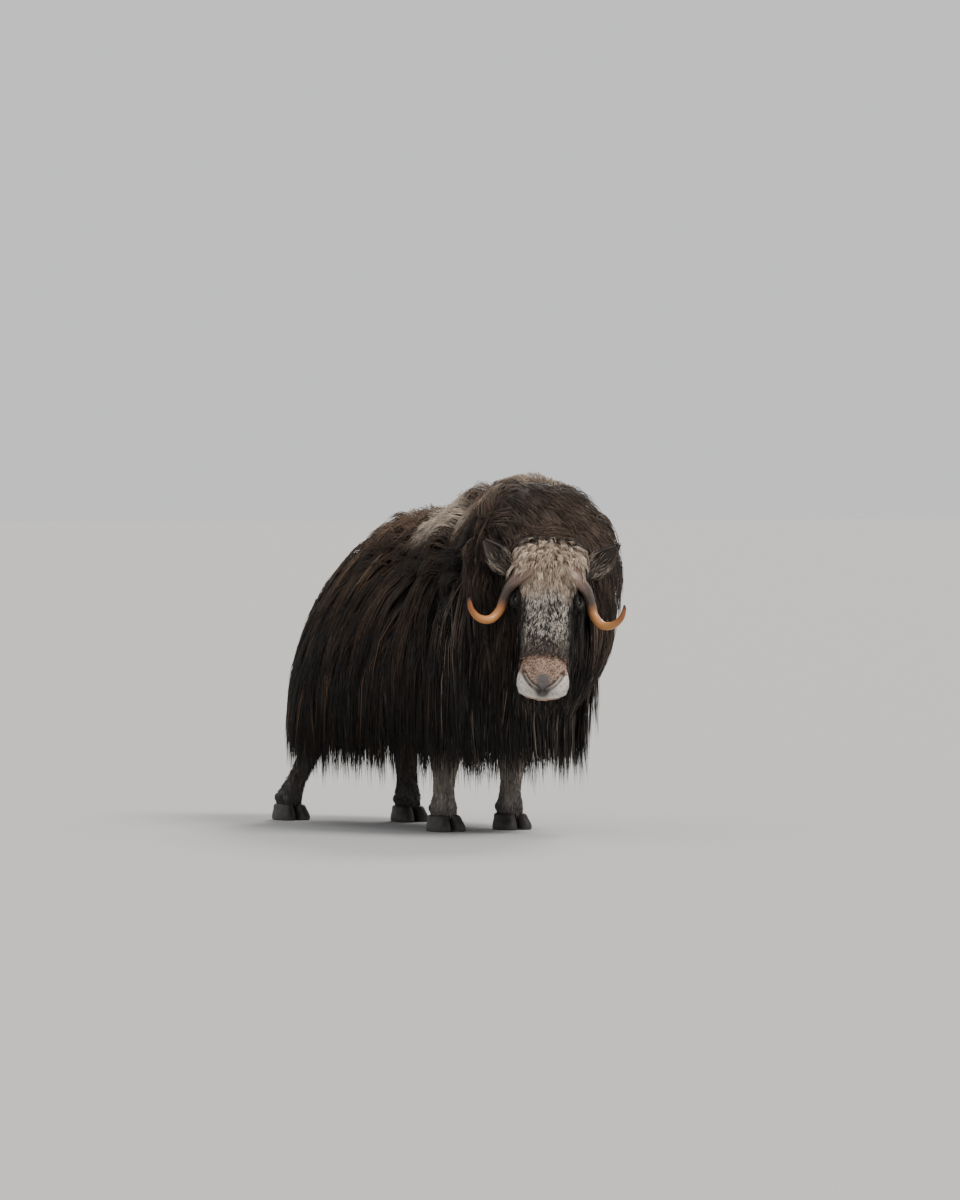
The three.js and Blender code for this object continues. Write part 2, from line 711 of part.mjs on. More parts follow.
// The short tail, mostly hidden by the rump's coat: stations with forward, up and radius
const TAIL = [
  [-642, 850, 30],
  [-656, 810, 34],
  [-670, 760, 30],
  [-680, 715, 23],
  [-684, 690, 10],
];
function tail() {
  return loft(
    TAIL.map(([forward, up, radius]) =>
      ring(8, (angle) => place(forward + Math.cos(angle) * radius * 0.6, Math.sin(angle) * radius, up)),
    ),
  );
}

const MATERIALS = {
  coat: new THREE.MeshStandardMaterial({ color: 0x1c1613, roughness: 0.9, metalness: 0 }),
  mane: new THREE.MeshStandardMaterial({ color: 0x3a2e28, roughness: 0.9, metalness: 0 }),
  face: new THREE.MeshStandardMaterial({ color: 0x9b8876, roughness: 0.85, metalness: 0 }),
  stocking: new THREE.MeshStandardMaterial({ color: 0x8d8177, roughness: 0.9, metalness: 0 }),
  horn: new THREE.MeshStandardMaterial({ color: 0xc0824a, roughness: 0.45, metalness: 0 }),
  hoof: new THREE.MeshStandardMaterial({ color: 0x2c2622, roughness: 0.6, metalness: 0 }),
  eye: new THREE.MeshStandardMaterial({ color: 0x120b07, roughness: 0.1, metalness: 0 }),
};

// The space between two cuts across the spine, as a block. A missing cut leaves that end open.
const BEYOND = 3000;
const HALF_BLOCK = 900;
function between(rearCut = -BEYOND, frontCut = BEYOND) {
  const wall = (cut, offset) =>
    [[-1, -1], [1, -1], [1, 1], [-1, 1]].map(([side, up]) => {
      const onSpine = THREE.MathUtils.clamp(cut, TRUNK_REAR, BEND_END);
      const past = cut - onSpine + offset;
      const middle = fromSpine(onSpine, 0, 0);
      const left = fromSpine(onSpine, 1, 0).sub(middle);
      const ahead = new THREE.Vector3(left.y, -left.x, 0);
      return middle.addScaledVector(ahead, past).addScaledVector(left, side * HALF_BLOCK).setZ(up * BEYOND);
    });
  return solid(loft([wall(rearCut, CUT_WIDTH / 2), wall(frontCut, -CUT_WIDTH / 2)]));
}

// The head's outer form with its brows, lips and locks, before anything is cut into it
function headShape(swell = 0) {
  const lids = bothSides((side) => [lid(side, 1), lid(side, -1)]).flat();
  const pieces = [headLoft(), ...bothSides(brow), ...lids, lip(1), lip(-1), ...headLocks()];
  return join(pieces.map((piece) => solid(piece, swell)));
}

const group = new THREE.Group();
const legSolids = Object.entries(LEGS);
const legShapes = legSolids.map(([, stations]) => leg(stations));
const sockets = [
  headShape(GAP),
  ...[tail(), ...legShapes, ...bothSides(horn)].map((piece) => solid(piece, GAP)),
  ...bothSides((side) => solid(ear(side, EAR_ROOM))),
];
const coat = join([solid(trunkCore()), ...coatLocks()]).subtract(join(sockets));
TRUNK_NODES.forEach((name, i) => {
  const part = coat.intersect(between(CUTS[i - 1], CUTS[i]));
  group.add(node(name, part, i === 3 ? MATERIALS.mane : MATERIALS.coat));
});

const grooveSize = [MOUTH_GROOVE, MOUTH_GROOVE];
const mouthGroove = headTube(roundMuzzle(MOUTH), [grooveSize, grooveSize], 4, 12);
const headCuts = [
  solid(mouthGroove),
  ...bothSides((side) => solid(eye(side), GAP)),
  ...bothSides((side) => solid(eyeOpening(side))),
  ...bothSides((side) => solid(horn(side), GAP)),
  ...bothSides((side) => solid(headTube(NOSTRIL.map(([x, y, z]) => [side * x, y, z]), NOSTRIL_SIZES, 6))),
];
group.add(node("head", headShape().subtract(join(headCuts)), MATERIALS.face));
for (const [name, side] of Object.entries(SIDES)) {
  group.add(node("eye_" + name, solid(eye(side)), MATERIALS.eye));
  group.add(node("horn_" + name, solid(horn(side)).subtract(solid(eye(side), GAP)), MATERIALS.horn));
  const besideEar = headShape(GAP).add(solid(horn(side), GAP));
  group.add(node("ear_" + name, solid(ear(side)).subtract(besideEar), MATERIALS.mane));
}
group.add(node("tail", solid(tail()), MATERIALS.coat));
for (const [name, stations] of legSolids) {
  const [forward, left] = stations.at(-1);
  const claws = bothSides((side) => solid(dewclaw(forward, left, side)));
  group.add(node("leg_" + name, join([solid(leg(stations)), ...claws]), MATERIALS.stocking));
  for (const [label, side] of Object.entries(SIDES))
    group.add(node(`toe_${name}_${label}`, solid(toe(forward, left, side)), MATERIALS.hoof));
}

// The origin goes under the middle of the whole animal, seen from above
const middle = new THREE.Box3().setFromObject(group).getCenter(new THREE.Vector3());
group.position.set(-middle.x, -middle.y, 0);

export default group;
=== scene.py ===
from math import cos, pi, radians, sin

import bpy
import numpy as np
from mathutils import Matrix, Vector
from mathutils.bvhtree import BVHTree


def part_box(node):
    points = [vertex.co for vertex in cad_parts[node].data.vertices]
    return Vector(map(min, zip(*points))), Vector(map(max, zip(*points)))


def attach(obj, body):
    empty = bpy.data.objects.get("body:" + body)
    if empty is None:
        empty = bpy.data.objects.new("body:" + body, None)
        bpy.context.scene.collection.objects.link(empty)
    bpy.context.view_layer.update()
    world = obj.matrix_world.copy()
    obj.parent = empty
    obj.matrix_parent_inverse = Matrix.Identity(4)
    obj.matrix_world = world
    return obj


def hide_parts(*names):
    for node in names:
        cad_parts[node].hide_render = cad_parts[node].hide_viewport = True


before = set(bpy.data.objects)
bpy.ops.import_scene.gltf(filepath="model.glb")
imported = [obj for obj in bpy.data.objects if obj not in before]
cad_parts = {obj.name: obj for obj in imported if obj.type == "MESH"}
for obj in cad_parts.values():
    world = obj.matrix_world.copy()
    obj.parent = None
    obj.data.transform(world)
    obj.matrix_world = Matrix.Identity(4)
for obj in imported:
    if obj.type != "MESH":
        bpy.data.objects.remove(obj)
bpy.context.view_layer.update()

# Driving sizes, the same as the part's
HEAD_TURN = radians(35)
HEAD_DROP = radians(65)
HEAD_ROLL = radians(-3)
BEND_START = 790
BEND_RADIUS = 340
BEND_END = BEND_START + BEND_RADIUS * HEAD_TURN

# Stations of the trunk with its coat: distance along the spine, height of the back, height of the belly,
# half width, height where it is widest, squareness above and below that, depth of the coat
TRUNK = np.array([
    [-684, 700, 600, 25, 650, 1.3, 2, 30],
    [-672, 790, 540, 80, 600, 1.3, 2.5, 40],
    [-635, 862, 490, 138, 560, 1.3, 3, 50],
    [-570, 940, 460, 196, 530, 1.3, 4, 56],
    [-450, 1036, 435, 272, 530, 1.35, 4, 60],
    [-300, 1098, 420, 336, 550, 1.45, 4, 60],
    [-170, 1168, 412, 364, 580, 1.55, 4, 62],
    [0, 1212, 408, 380, 620, 1.6, 4, 64],
    [200, 1216, 405, 386, 630, 1.62, 4, 64],
    [360, 1224, 405, 386, 650, 1.7, 4, 64],
    [500, 1276, 408, 380, 680, 1.85, 4, 66],
    [630, 1345, 412, 368, 730, 2.05, 3.6, 70],
    [750, 1375, 420, 350, 800, 2.15, 3, 72],
    [830, 1372, 435, 334, 890, 2.15, 2.5, 72],
    [876, 1352, 450, 322, 960, 2.2, 2.2, 70],
    [902, 1318, 480, 294, 970, 2.3, 2.2, 60],
    [920, 1258, 530, 240, 960, 2.3, 2.2, 50],
    [931, 1150, 600, 160, 930, 2.1, 2.2, 40],
    [935, 1000, 720, 70, 850, 2, 2, 30],
], float)

# Stations of the head: distance from the poll, half width, rise and depth from its axis
HEAD = np.array([
    [-72, 98, 8, 122],
    [-30, 124, 40, 140],
    [25, 136, 92, 149],
    [85, 137, 115, 152],
    [150, 129, 113, 152],
    [210, 115, 103, 147],
    [270, 101, 93, 136],
    [335, 89, 85, 120],
    [400, 84, 79, 103],
    [455, 87, 74, 92],
    [505, 94, 68, 84],
    [540, 93, 57, 72],
    [563, 78, 42, 56],
    [576, 52, 24, 34],
    [582, 26, 10, 16],
    [584, 4, 0, 2],
], float)
HEAD_SQUARE = 2.3
JAW_NARROWING = 0.34

# Legs from the body down, in columns: forward, left, up, half width, half length
FRONT_LEG_LEFT = np.array([160, 158, 152, 148, 146, 144, 142, 142])
FRONT_LEG = (
    [600, 470, 350, 285, 205, 140, 100, 62], [78, 70, 66, 60, 45, 42, 50, 49],
    [105, 84, 70, 64, 50, 47, 56, 54],
)
HIND_LEG = [600, 480, 385, 310, 220, 148, 104, 62], [90, 74, 58, 50, 42, 42, 50, 49]
LEG_COLUMNS = {
    "front_right": [[462, 466, 458, 450, 440, 432, 428, 430], -FRONT_LEG_LEFT, *FRONT_LEG],
    "front_left": [[470, 474, 470, 464, 456, 450, 449, 452], FRONT_LEG_LEFT, *FRONT_LEG],
    "hind_right": [
        [-352, -372, -404, -440, -502, -560, -592, -598], [-150, -152, -154, -158, -164, -170, -174, -175],
        *HIND_LEG, [130, 96, 74, 60, 50, 50, 58, 54],
    ],
    "hind_left": [
        [-262, -268, -278, -270, -252, -242, -238, -236], [150, 150, 146, 142, 138, 136, 135, 135],
        *HIND_LEG, [130, 92, 72, 58, 50, 49, 57, 54],
    ],
}
LEGS = {name: np.array(columns, float).T for name, columns in LEG_COLUMNS.items()}
ANKLE = -3
TOE = {"length": 128, "width": 62, "height": 61.6, "cleft": 5, "ahead": 14}
DEWCLAW = {"tilt": -0.06 * pi, "behind": 47, "side": 22, "up": 84, "half": [[13], [13], [18]]}
EYE = {"side": 104, "along": 214, "rise": 40, "radius": 18.6, "facing": radians(52)}
BROW = {"side": 97, "half": (31, 41, 32)}
EYE_MIDDLE = np.array([EYE["side"], EYE["along"], EYE["rise"]])
BROW_MIDDLE = np.array([BROW["side"], EYE["along"], EYE["rise"]])
LID = {"half": 22, "height": 16, "out": 12, "sizes": [[3, 3], [6.5, 6.5], [7.2, 7.2], [6.5, 6.5], [3, 3]]}
NOSTRIL = np.array([[72, 508, 47], [54, 538, 50], [32, 558, 43], [12, 569, 32]], float)
NOSE_PAD = np.array([[0, 528, 62], [0, 560, 50], [0, 574, 28]], float)
NOSE_EDGE = [0, 12, 32, 54, 72, 100], [574, 569, 558, 538, 508, 468], [28, 31, 42, 49, 46, 36]
MOUTH = np.array([
    [84, 462, -34], [93, 505, -26], [84, 545, -18], [52, 571, -12], [18, 580, -10], [0, 581, -10],
], float)
HORN_PATH = np.array([
    [28, 86, 100], [70, 114, 104], [110, 146, 90], [142, 173, 54], [159, 205, 18], [173, 247, 6],
    [204, 287, 15], [243, 299, 45], [272, 285, 80], [282, 260, 104], [281, 246, 113],
], float)
HORN_SIZES = np.array([
    [33, 14], [38, 18], [32, 19], [25, 19], [20, 18], [17.5, 17],
    [16, 16], [14, 14], [11, 11], [7.5, 7.5], [3, 3],
], float)
EAR = {"root": (132, 106, 22), "tip": (244, 0, 78), "half": 45, "wall": 10, "curl": 0.7}
EAR_WIDTHS = [0.42, 0.8, 1, 1, 0.82, 0.55, 0.2]
TAIL = np.array([[-642, 850, 30], [-656, 810, 34], [-670, 760, 30], [-680, 715, 23], [-684, 690, 10]], float)


# Points and tables
def angles(ring, first=0):
    """Angles all the way round a ring."""
    return (np.arange(ring) + first) / ring * 2 * pi


def cubic(table, at):
    """A smooth curve through a table's rows. The first column is the place, the rest are its values there."""
    keys = table[:, 0]
    values = table[:, 1:]
    at = np.clip(at, keys[0], keys[-1])
    last = len(keys) - 1
    i = np.clip(np.searchsorted(keys, at, side="right"), 1, last)
    t0, t1 = keys[i - 1], keys[i]
    before = np.where(i == 1, i, np.maximum(i - 2, 0))
    after = np.where(i == last, i - 1, np.minimum(i + 1, last))
    half = (t1 - t0) / 2
    w0 = (half / (t0 - np.where(i == 1, t1, keys[before])))[..., None]
    w1 = (half / (np.where(i == last, t0, keys[after]) - t1))[..., None]
    p = ((at - t0) / (t1 - t0))[..., None]
    return (
        (-w0 * p**3 + 2 * w0 * p**2 - w0 * p) * values[before]
        + ((1 + w0) * p**3 + (-1.5 - 2 * w0) * p**2 + (-0.5 + w0) * p + 1) * values[i - 1]
        + ((-1 - w1) * p**3 + (1.5 + w1) * p**2 + 0.5 * p) * values[i]
        + (w1 * p**3 - w1 * p**2) * values[after]
    )


def evenly(points, count):
    """Points of a smooth curve through evenly weighted points."""
    table = np.column_stack([np.arange(len(points)), points])
    return cubic(table, np.linspace(0, len(points) - 1, count))


def unit(v):
    return v / np.maximum(size_of(v), 1e-9)[..., None]


def dot(a, b):
    return np.sum(a * b, -1)


def size_of(vectors):
    return np.linalg.norm(vectors, axis=-1)


def seeded(seed):
    return np.random.default_rng(seed)


def smooth(low, high, x):
    """From 0 at low to 1 at high, or the other way round where low is above high."""
    t = np.clip((x - low) / (high - low), 0, 1)
    return t * t * (3 - 2 * t)


def axes_of(points):
    """Forward, left and up of points."""
    return -points[..., 1], points[..., 0], points[..., 2]


def place(forward, left, up):
    """Points from forward, left and up."""
    return np.stack(np.broadcast_arrays(left, -np.asarray(forward, float), up), -1).astype(float)


def from_spine(along, side, up):
    turn = np.clip((along - BEND_START) / BEND_RADIUS, 0, HEAD_TURN)
    past = np.maximum(along - BEND_END, 0)
    forward = np.minimum(along, BEND_START) + (BEND_RADIUS + side) * np.sin(turn) + past * np.cos(turn)
    left = (BEND_RADIUS + side) * np.cos(turn) - BEND_RADIUS - past * np.sin(turn)
    return place(forward, left, up)


def turned(axis, about, angle):
    cross = np.cross(about, axis)
    return axis * cos(angle) + cross * sin(angle) + about * (about @ axis) * (1 - cos(angle))


POLL = place(945, -16, 1044)
head_ahead = place(cos(HEAD_TURN), -sin(HEAD_TURN), 0)
HEAD_AXES = np.stack([
    turned(axis, head_ahead, HEAD_ROLL) for axis in (
        place(sin(HEAD_TURN), cos(HEAD_TURN), 0),
        head_ahead * cos(HEAD_DROP) + place(0, 0, -sin(HEAD_DROP)),
        head_ahead * sin(HEAD_DROP) + place(0, 0, cos(HEAD_DROP)),
    )
])
head_side, head_along, head_rise = HEAD_AXES


def in_head(points):
    """Points of the head's space (side, along, rise) in the animal's."""
    return POLL + np.asarray(points, float) @ HEAD_AXES


def to_head(points):
    return (points - POLL) @ HEAD_AXES.T


def eye_place(side):
    """The middle of an eye, and the direction that it faces."""
    facing = head_rise * cos(EYE["facing"]) + head_side * sin(EYE["facing"]) * side
    return in_head(EYE_MIDDLE * [side, 1, 1]), facing


def ear_ends(side):
    return in_head(EAR["root"] * np.array([side, 1, 1])), in_head(EAR["tip"] * np.array([side, 1, 1]))


# The frame's origin is under the middle of the whole part, so the left eye gives the shift
low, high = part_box("eye_left")
SHIFT = (np.array(low) + np.array(high)) / 2 - eye_place(1)[0] / 1000
SHIFT[2] = 0


NOISE = {"octaves": 3, "waves": 4, "finer": 1.9, "weaker": 1.6, "sum": 4.2}


def noise(points, scale, seed):
    """Smooth noise from -1 to 1: a sum of waves in seeded directions."""
    waves = seeded(seed)
    total = np.zeros(points.shape[:-1])
    for octave in range(NOISE["octaves"]):
        for _ in range(NOISE["waves"]):
            direction = unit(waves.normal(size=3))
            phase = waves.uniform(0, 2 * pi)
            along = points @ direction * (2 * pi / scale * NOISE["finer"] ** octave)
            total += np.sin(along + phase) / NOISE["weaker"] ** octave
    return total / NOISE["sum"]


# Meshes: each surface has its own patch of the unwrap
ISLANDS = {
    "trunk": (0.01, 0.42, 0.99, 0.99),
    "head": (0.01, 0.01, 0.4, 0.4),
    **{"leg_" + name: (x / 100, 0.01, (x + 10) / 100, 0.4) for name, x in zip(LEGS, (42, 53, 64, 75))},
    "ear_left": (0.87, 0.21, 0.93, 0.4),
    "ear_right": (0.94, 0.21, 0.99, 0.4),
    "tail": (0.87, 0.01, 0.93, 0.19),
    "rest": (0.94, 0.01, 0.99, 0.19),
}


def on_island(name, u, v):
    """Shares of the way across a surface as a place on the skin's unwrap."""
    x0, y0, x1, y1 = ISLANDS[name]
    return np.stack(np.broadcast_arrays(x0 + (x1 - x0) * u, y0 + (y1 - y0) * v), -1)


# Steps that scatter places evenly over a square, and how many are tried for each root
EVEN_STEPS = 0.7548776662466927, 0.5698402909980532
TRIES = 14


class Sheet:
    """A lofted surface: rows of rings of points, closed round each ring, with outward normals."""

    def __init__(self, name, grid):
        self.name = name
        self.grid = grid
        self.size = grid.shape[:2]
        around = np.roll(grid, -1, 1) - np.roll(grid, 1, 1)
        along = np.gradient(grid, axis=0)
        normals = unit(np.cross(around, along))
        outward = dot(normals, grid - grid.mean(1, keepdims=True)).mean()
        self.normals = normals * (1 if outward > 0 else -1)

    def moved(self, name, distance):
        return Sheet(name, self.grid + self.normals * np.asarray(distance)[..., None])

    def at(self, u, v):
        """Points and normals at shares u round the rings and v along the rows."""
        rows, ring = self.size
        r = np.clip(v * (rows - 1), 0, rows - 1.001)
        c = u * ring
        r0, c0 = np.floor(r).astype(int), np.floor(c).astype(int)
        fr, fc = (r - r0)[:, None], (c - c0)[:, None]
        c0, c1 = c0 % ring, (c0 + 1) % ring
        point, normal = (
            (values[r0, c0] * (1 - fc) + values[r0, c1] * fc) * (1 - fr)
            + (values[r0 + 1, c0] * (1 - fc) + values[r0 + 1, c1] * fc) * fr
            for values in (self.grid, self.normals)
        )
        return point, unit(normal)

    def area_at(self, u, v):
        rows, ring = self.size
        across = np.roll(self.grid, -1, 1)[:-1] - self.grid[:-1]
        along = self.grid[1:] - self.grid[:-1]
        area = size_of(np.cross(across, along))
        r = np.clip((v * (rows - 1)).astype(int), 0, rows - 2)
        return area[r, (u * ring).astype(int) % ring]

    def roots(self, count, weight, seed):
        """About count places spread evenly, thinned by weight(points, normals) from 0 to 1."""
        tries = count * TRIES
        u, v = ((0.5 + np.arange(tries) * step) % 1 for step in EVEN_STEPS)
        points, normals = self.at(u, v)
        chance = self.area_at(u, v) * np.clip(weight(points, normals), 0, 1)
        chance /= np.sort(chance)[int(0.995 * tries)] + 1e-9
        order = np.flatnonzero(seeded(seed).uniform(size=tries) < chance)
        if len(order) > count:
            order = order[np.linspace(0, len(order) - 1, count).astype(int)]
        return points[order], normals[order], on_island(self.name, u[order], v[order])

    def faces(self, first):
        rows, ring = self.size
        r, c = np.meshgrid(np.arange(rows - 1), np.arange(ring), indexing="ij")
        n = (c + 1) % ring
        corners = [r * ring + c, r * ring + n, (r + 1) * ring + n, (r + 1) * ring + c]
        quads = np.stack(corners, -1).reshape(-1, 4)
        uv = [
            on_island(self.name, column / ring, row / (rows - 1))
            for row, column in ((r, c), (r, c + 1), (r + 1, c + 1), (r + 1, c))
        ]
        uv = np.stack(uv, -2).reshape(-1, 4, 2)
        a, b, d = (self.grid.reshape(-1, 3)[quads[:, k]] for k in (0, 1, 3))
        if dot(np.cross(b - a, d - a), self.normals.reshape(-1, 3)[quads[:, 0]]).sum() < 0:
            quads, uv = quads[:, ::-1], uv[:, ::-1]
        return quads + first, uv


def linked(name, data):
    made = bpy.data.objects.new(name, data)
    bpy.context.scene.collection.objects.link(made)
    return made


def mesh_object(name, points, polygons, uv, tint):
    """An object from points in the animal's space. polygons is a list of arrays of equal-sided faces."""
    mesh = bpy.data.meshes.new(name)
    sizes = np.concatenate([np.full(len(p), p.shape[1]) for p in polygons])
    loops = np.concatenate([p.ravel() for p in polygons])
    mesh.vertices.add(len(points))
    mesh.vertices.foreach_set("co", (points / 1000 + SHIFT).astype(np.float32).ravel())
    mesh.loops.add(len(loops))
    mesh.loops.foreach_set("vertex_index", loops.astype(np.int32))
    mesh.polygons.add(len(sizes))
    mesh.polygons.foreach_set("loop_start", np.concatenate([[0], np.cumsum(sizes)[:-1]]).astype(np.int32))
    mesh.polygons.foreach_set("use_smooth", np.full(len(sizes), True))
    layer = mesh.uv_layers.new(name="OFBake")
    layer.uv.foreach_set("vector", np.asarray(uv, np.float32).ravel())
    layer = mesh.color_attributes.new("Tint", "FLOAT_COLOR", "POINT")
    rgba = np.column_stack([np.clip(tint, 0, 1), np.ones(len(tint))])
    layer.data.foreach_set("color", rgba.astype(np.float32).ravel())
    mesh.update(calc_edges=True)
    mesh.validate()
    return linked(name, mesh)


def caps(grid, first):
    """The fans that close a loft's ends, and their middle points."""
    rows, ring = grid.shape[:2]
    points = grid.reshape(-1, 3)
    middles = np.stack([grid[0].mean(0), grid[-1].mean(0)])
    fans = []
    for end, base in ((0, 0), (1, (rows - 1) * ring)):
        c = np.arange(ring)
        fan = np.stack([np.full(ring, rows * ring + end), base + c, base + (c + 1) % ring], -1)
        a, b = points[fan[:, 1]] - middles[end], points[fan[:, 2]] - middles[end]
        outward = middles[end] - points.mean(0)
        fans.append(fan if np.cross(a, b).sum(0) @ outward > 0 else fan[:, ::-1])
    return middles, np.concatenate(fans) + first


def solid_object(name, *forms):
    """One mesh from lofts and their colours, each loft closed at its ends."""
    points, quads, fans, quad_uv, fan_uv, colours = ([] for _ in range(6))
    count = 0
    for sheet, tint in forms:
        tint = np.broadcast_to(tint, sheet.grid.shape)
        faces, uv = sheet.faces(count)
        middles, ends = caps(sheet.grid, count)
        quads.append(faces)
        quad_uv.append(uv.reshape(-1, 2))
        fans.append(ends)
        rows, ring = sheet.size
        fan_uv.append(on_island(sheet.name, 0.5, np.repeat([0.0, 1.0], ring * 3)))
        points += [sheet.grid.reshape(-1, 3), middles]
        colours += [tint.reshape(-1, 3), np.stack([tint[0].mean(0), tint[-1].mean(0)])]
        count += rows * ring + 2
    faces = [np.concatenate(quads), np.concatenate(fans)]
    uv = np.concatenate(quad_uv + fan_uv)
    return mesh_object(name, np.concatenate(points), faces, uv, np.concatenate(colours))


STRAND_PATCH = 0.003


def strands(name, paths, widths, outs, roots_uv, tints):
    """Closed, tapered, three-sided strands as one mesh. paths is (strand, ring, xyz) with the tip last."""
    count, rings = paths.shape[0], paths.shape[1] - 1
    tangent = unit(paths[:, 1:] - paths[:, :-1])
    tangent[:, 1:] = unit(tangent[:, 1:] + tangent[:, :-1])
    across = unit(np.cross(tangent, outs[:, :rings]))
    out = unit(np.cross(across, tangent))
    half = widths[:, :rings, None]
    body = paths[:, :rings]
    ring = np.stack([body + across * half, body - across * half, body + out * half * 0.9], 2)
    points = np.concatenate([ring.reshape(count, -1, 3), paths[:, -1:]], 1)
    per = rings * 3 + 1
    corner = np.arange(3)
    follow = (corner + 1) % 3
    quad = np.stack([corner, follow, follow + 3, corner + 3], -1)
    quads = np.concatenate([quad + 3 * r for r in range(rings - 1)])
    last = (rings - 1) * 3
    triangles = np.stack([last + corner, last + follow, np.full(3, per - 1)], -1)
    triangles = np.concatenate([triangles, [[2, 1, 0]]])
    first = (np.arange(count) * per)[:, None, None]
    row = np.concatenate([np.repeat(np.arange(rings), 3), [rings]]) / rings - 0.5
    column = np.concatenate([np.tile([-0.5, 0.5, 0.0], rings), [0.0]])
    patch = roots_uv[:, None] + STRAND_PATCH * np.stack([column, row], -1)
    uv = np.concatenate([patch[:, quads.ravel()].reshape(-1, 2), patch[:, triangles.ravel()].reshape(-1, 2)])
    tint = np.concatenate([np.repeat(tints[:, :rings], 3, axis=1), tints[:, -1:]], 1)
    faces = [(quads + first).reshape(-1, 4), (triangles + first).reshape(-1, 3)]
    return mesh_object(name, points.reshape(-1, 3), faces, uv, tint.reshape(-1, 3))


# The trunk: its outer form with the coat, and the skin inside it by the coat's depth
def trunk_grid(stations, ring):
    size = cubic(TRUNK, stations)
    top, belly, half, wide, roof, keel = (size[:, k, None] for k in range(6))
    angle = angles(ring, 0.5)
    across, rise = np.cos(angle)[None], np.sin(angle)[None]
    power = np.where(rise > 0, roof, keel)
    reach = (np.abs(across) ** power + np.abs(rise) ** power) ** (-1 / power)
    height = np.where(rise > 0, top - wide, wide - belly)
    return from_spine(stations[:, None], across * reach * half, wide + rise * reach * height)


def coat_depth(stations):
    return cubic(TRUNK, stations)[:, 6]


TRUNK_STATIONS = np.concatenate([
    np.linspace(-680, -560, 14), np.linspace(-545, 760, 76), np.linspace(775, 934, 34),
])
TRUNK_RING = 96
trunk_hull = Sheet("trunk", trunk_grid(TRUNK_STATIONS, TRUNK_RING))
trunk_skin = trunk_hull.moved("trunk", np.repeat(-coat_depth(TRUNK_STATIONS)[:, None], TRUNK_RING, 1))


# The head: a smooth loft, sculpted along its normals
def head_points(stations, ring):
    size = cubic(HEAD, stations)
    half, rise, depth = (size[:, k, None] for k in range(3))
    angle = angles(ring)
    across, up = np.cos(angle)[None], np.sin(angle)[None]
    reach = (np.abs(across) ** HEAD_SQUARE + np.abs(up) ** HEAD_SQUARE) ** (-1 / HEAD_SQUARE)
    narrowed = np.where(up < 0, 1 - JAW_NARROWING * up**2, 1)
    side = across * reach * half * narrowed
    height = up * reach * np.where(up > 0, rise, depth)
    return np.stack([side, np.broadcast_to(stations[:, None], side.shape), height], -1)


def to_path(points, path):
    """Distance from each point to a path of straight pieces."""
    best = np.full(points.shape[:-1], 1e9)
    for a, b in zip(path[:-1], path[1:]):
        t = np.clip((points - a) @ (b - a) / ((b - a) @ (b - a)), 0, 1)
        best = np.minimum(best, size_of(points - a - t[..., None] * (b - a)))
    return best


def bump(distance, width):
    return np.exp(-((distance / width) ** 2))


def side_signs(points):
    return np.where(points[..., :1] < 0, [-1, 1, 1], [1, 1, 1])


def mirrored(points):
    """Points with their side made positive, so that one form serves both sides."""
    return points * side_signs(points)


def over_mouth(near):
    """Height of mirrored points over the line of the mouth."""
    return near[..., 2] - np.interp(near[..., 0], MOUTH[::-1, 0], MOUTH[::-1, 2])


def eye_space(points):
    """Points of the mirrored head round its eye: across the face, along the face, out of the eye."""
    offset = points - EYE_MIDDLE
    out = np.array([sin(EYE["facing"]), 0, cos(EYE["facing"])])
    across = np.array([cos(EYE["facing"]), 0, -sin(EYE["facing"])])
    return np.stack([offset @ across, offset[..., 1], offset @ out], -1)


HEAD_STATIONS = np.concatenate([
    np.linspace(-66, 165, 30), np.linspace(168, 262, 36),
    np.linspace(266, 440, 30), np.linspace(443, 584, 64),
])


def head_sheet():
    points = head_points(HEAD_STATIONS, 192)
    base = Sheet("head", points)
    inset = 7 - 5.5 * smooth(420, 500, points[..., 1])
    points = points - base.normals * inset[..., None]

    # The bony brow round the eye
    near = mirrored(points)
    local = eye_space(near) + [0, 0, (EYE["side"] - BROW["side"]) / sin(EYE["facing"])]
    size = size_of(local / BROW["half"])
    push = np.where((size < 1) & (size > 0.2), 1 / np.maximum(size, 0.2), 1)
    moved = BROW_MIDDLE + (near - BROW_MIDDLE) * push[..., None]
    points = points + (moved - near) * side_signs(points)

    # The socket behind the lids
    near = mirrored(points)
    local = eye_space(near)
    inside = (local[..., 0] / 10.5) ** 2 + (local[..., 1] / 18.5) ** 2
    offset = near - EYE_MIDDLE
    reach = np.minimum(size_of(offset), EYE["radius"] - 2.5)
    in_socket = (inside < 1) & (local[..., 2] > 0)
    moved = np.where(in_socket[..., None], EYE_MIDDLE + unit(offset) * reach[..., None], near)
    points = points + (moved - near) * side_signs(points)

    # Nostrils, mouth line, lips and chin
    near = mirrored(points)
    normals = Sheet("head", points).normals
    nostril = to_path(near, NOSTRIL)
    mouth = to_path(near, MOUTH)
    above = over_mouth(near)
    front = smooth(455, 500, near[..., 1])
    wing = to_path(near, NOSTRIL[:3] + [0, -13, 6])
    rise = -17 * bump(nostril, 7) + 4 * bump(wing, 9)
    rise -= 6 * bump(mouth, 3.4) * front
    rise += 4 * bump(np.abs(above) - 13, 8) * smooth(470, 520, near[..., 1])
    rise -= 2 * bump(near[..., 0], 3) * smooth(560, 574, near[..., 1]) * smooth(-8, 0, near[..., 2])
    rise += 1.2 * noise(near, 34, 5) + 0.5 * noise(near, 12, 6)
    rise[:4] = 0
    return Sheet("head", points + normals * rise[..., None])


head_local = head_sheet()
head_skin = Sheet("head", in_head(head_local.grid))
head_hull = Sheet("head", in_head(head_points(np.linspace(-66, 583, 60), 48)))


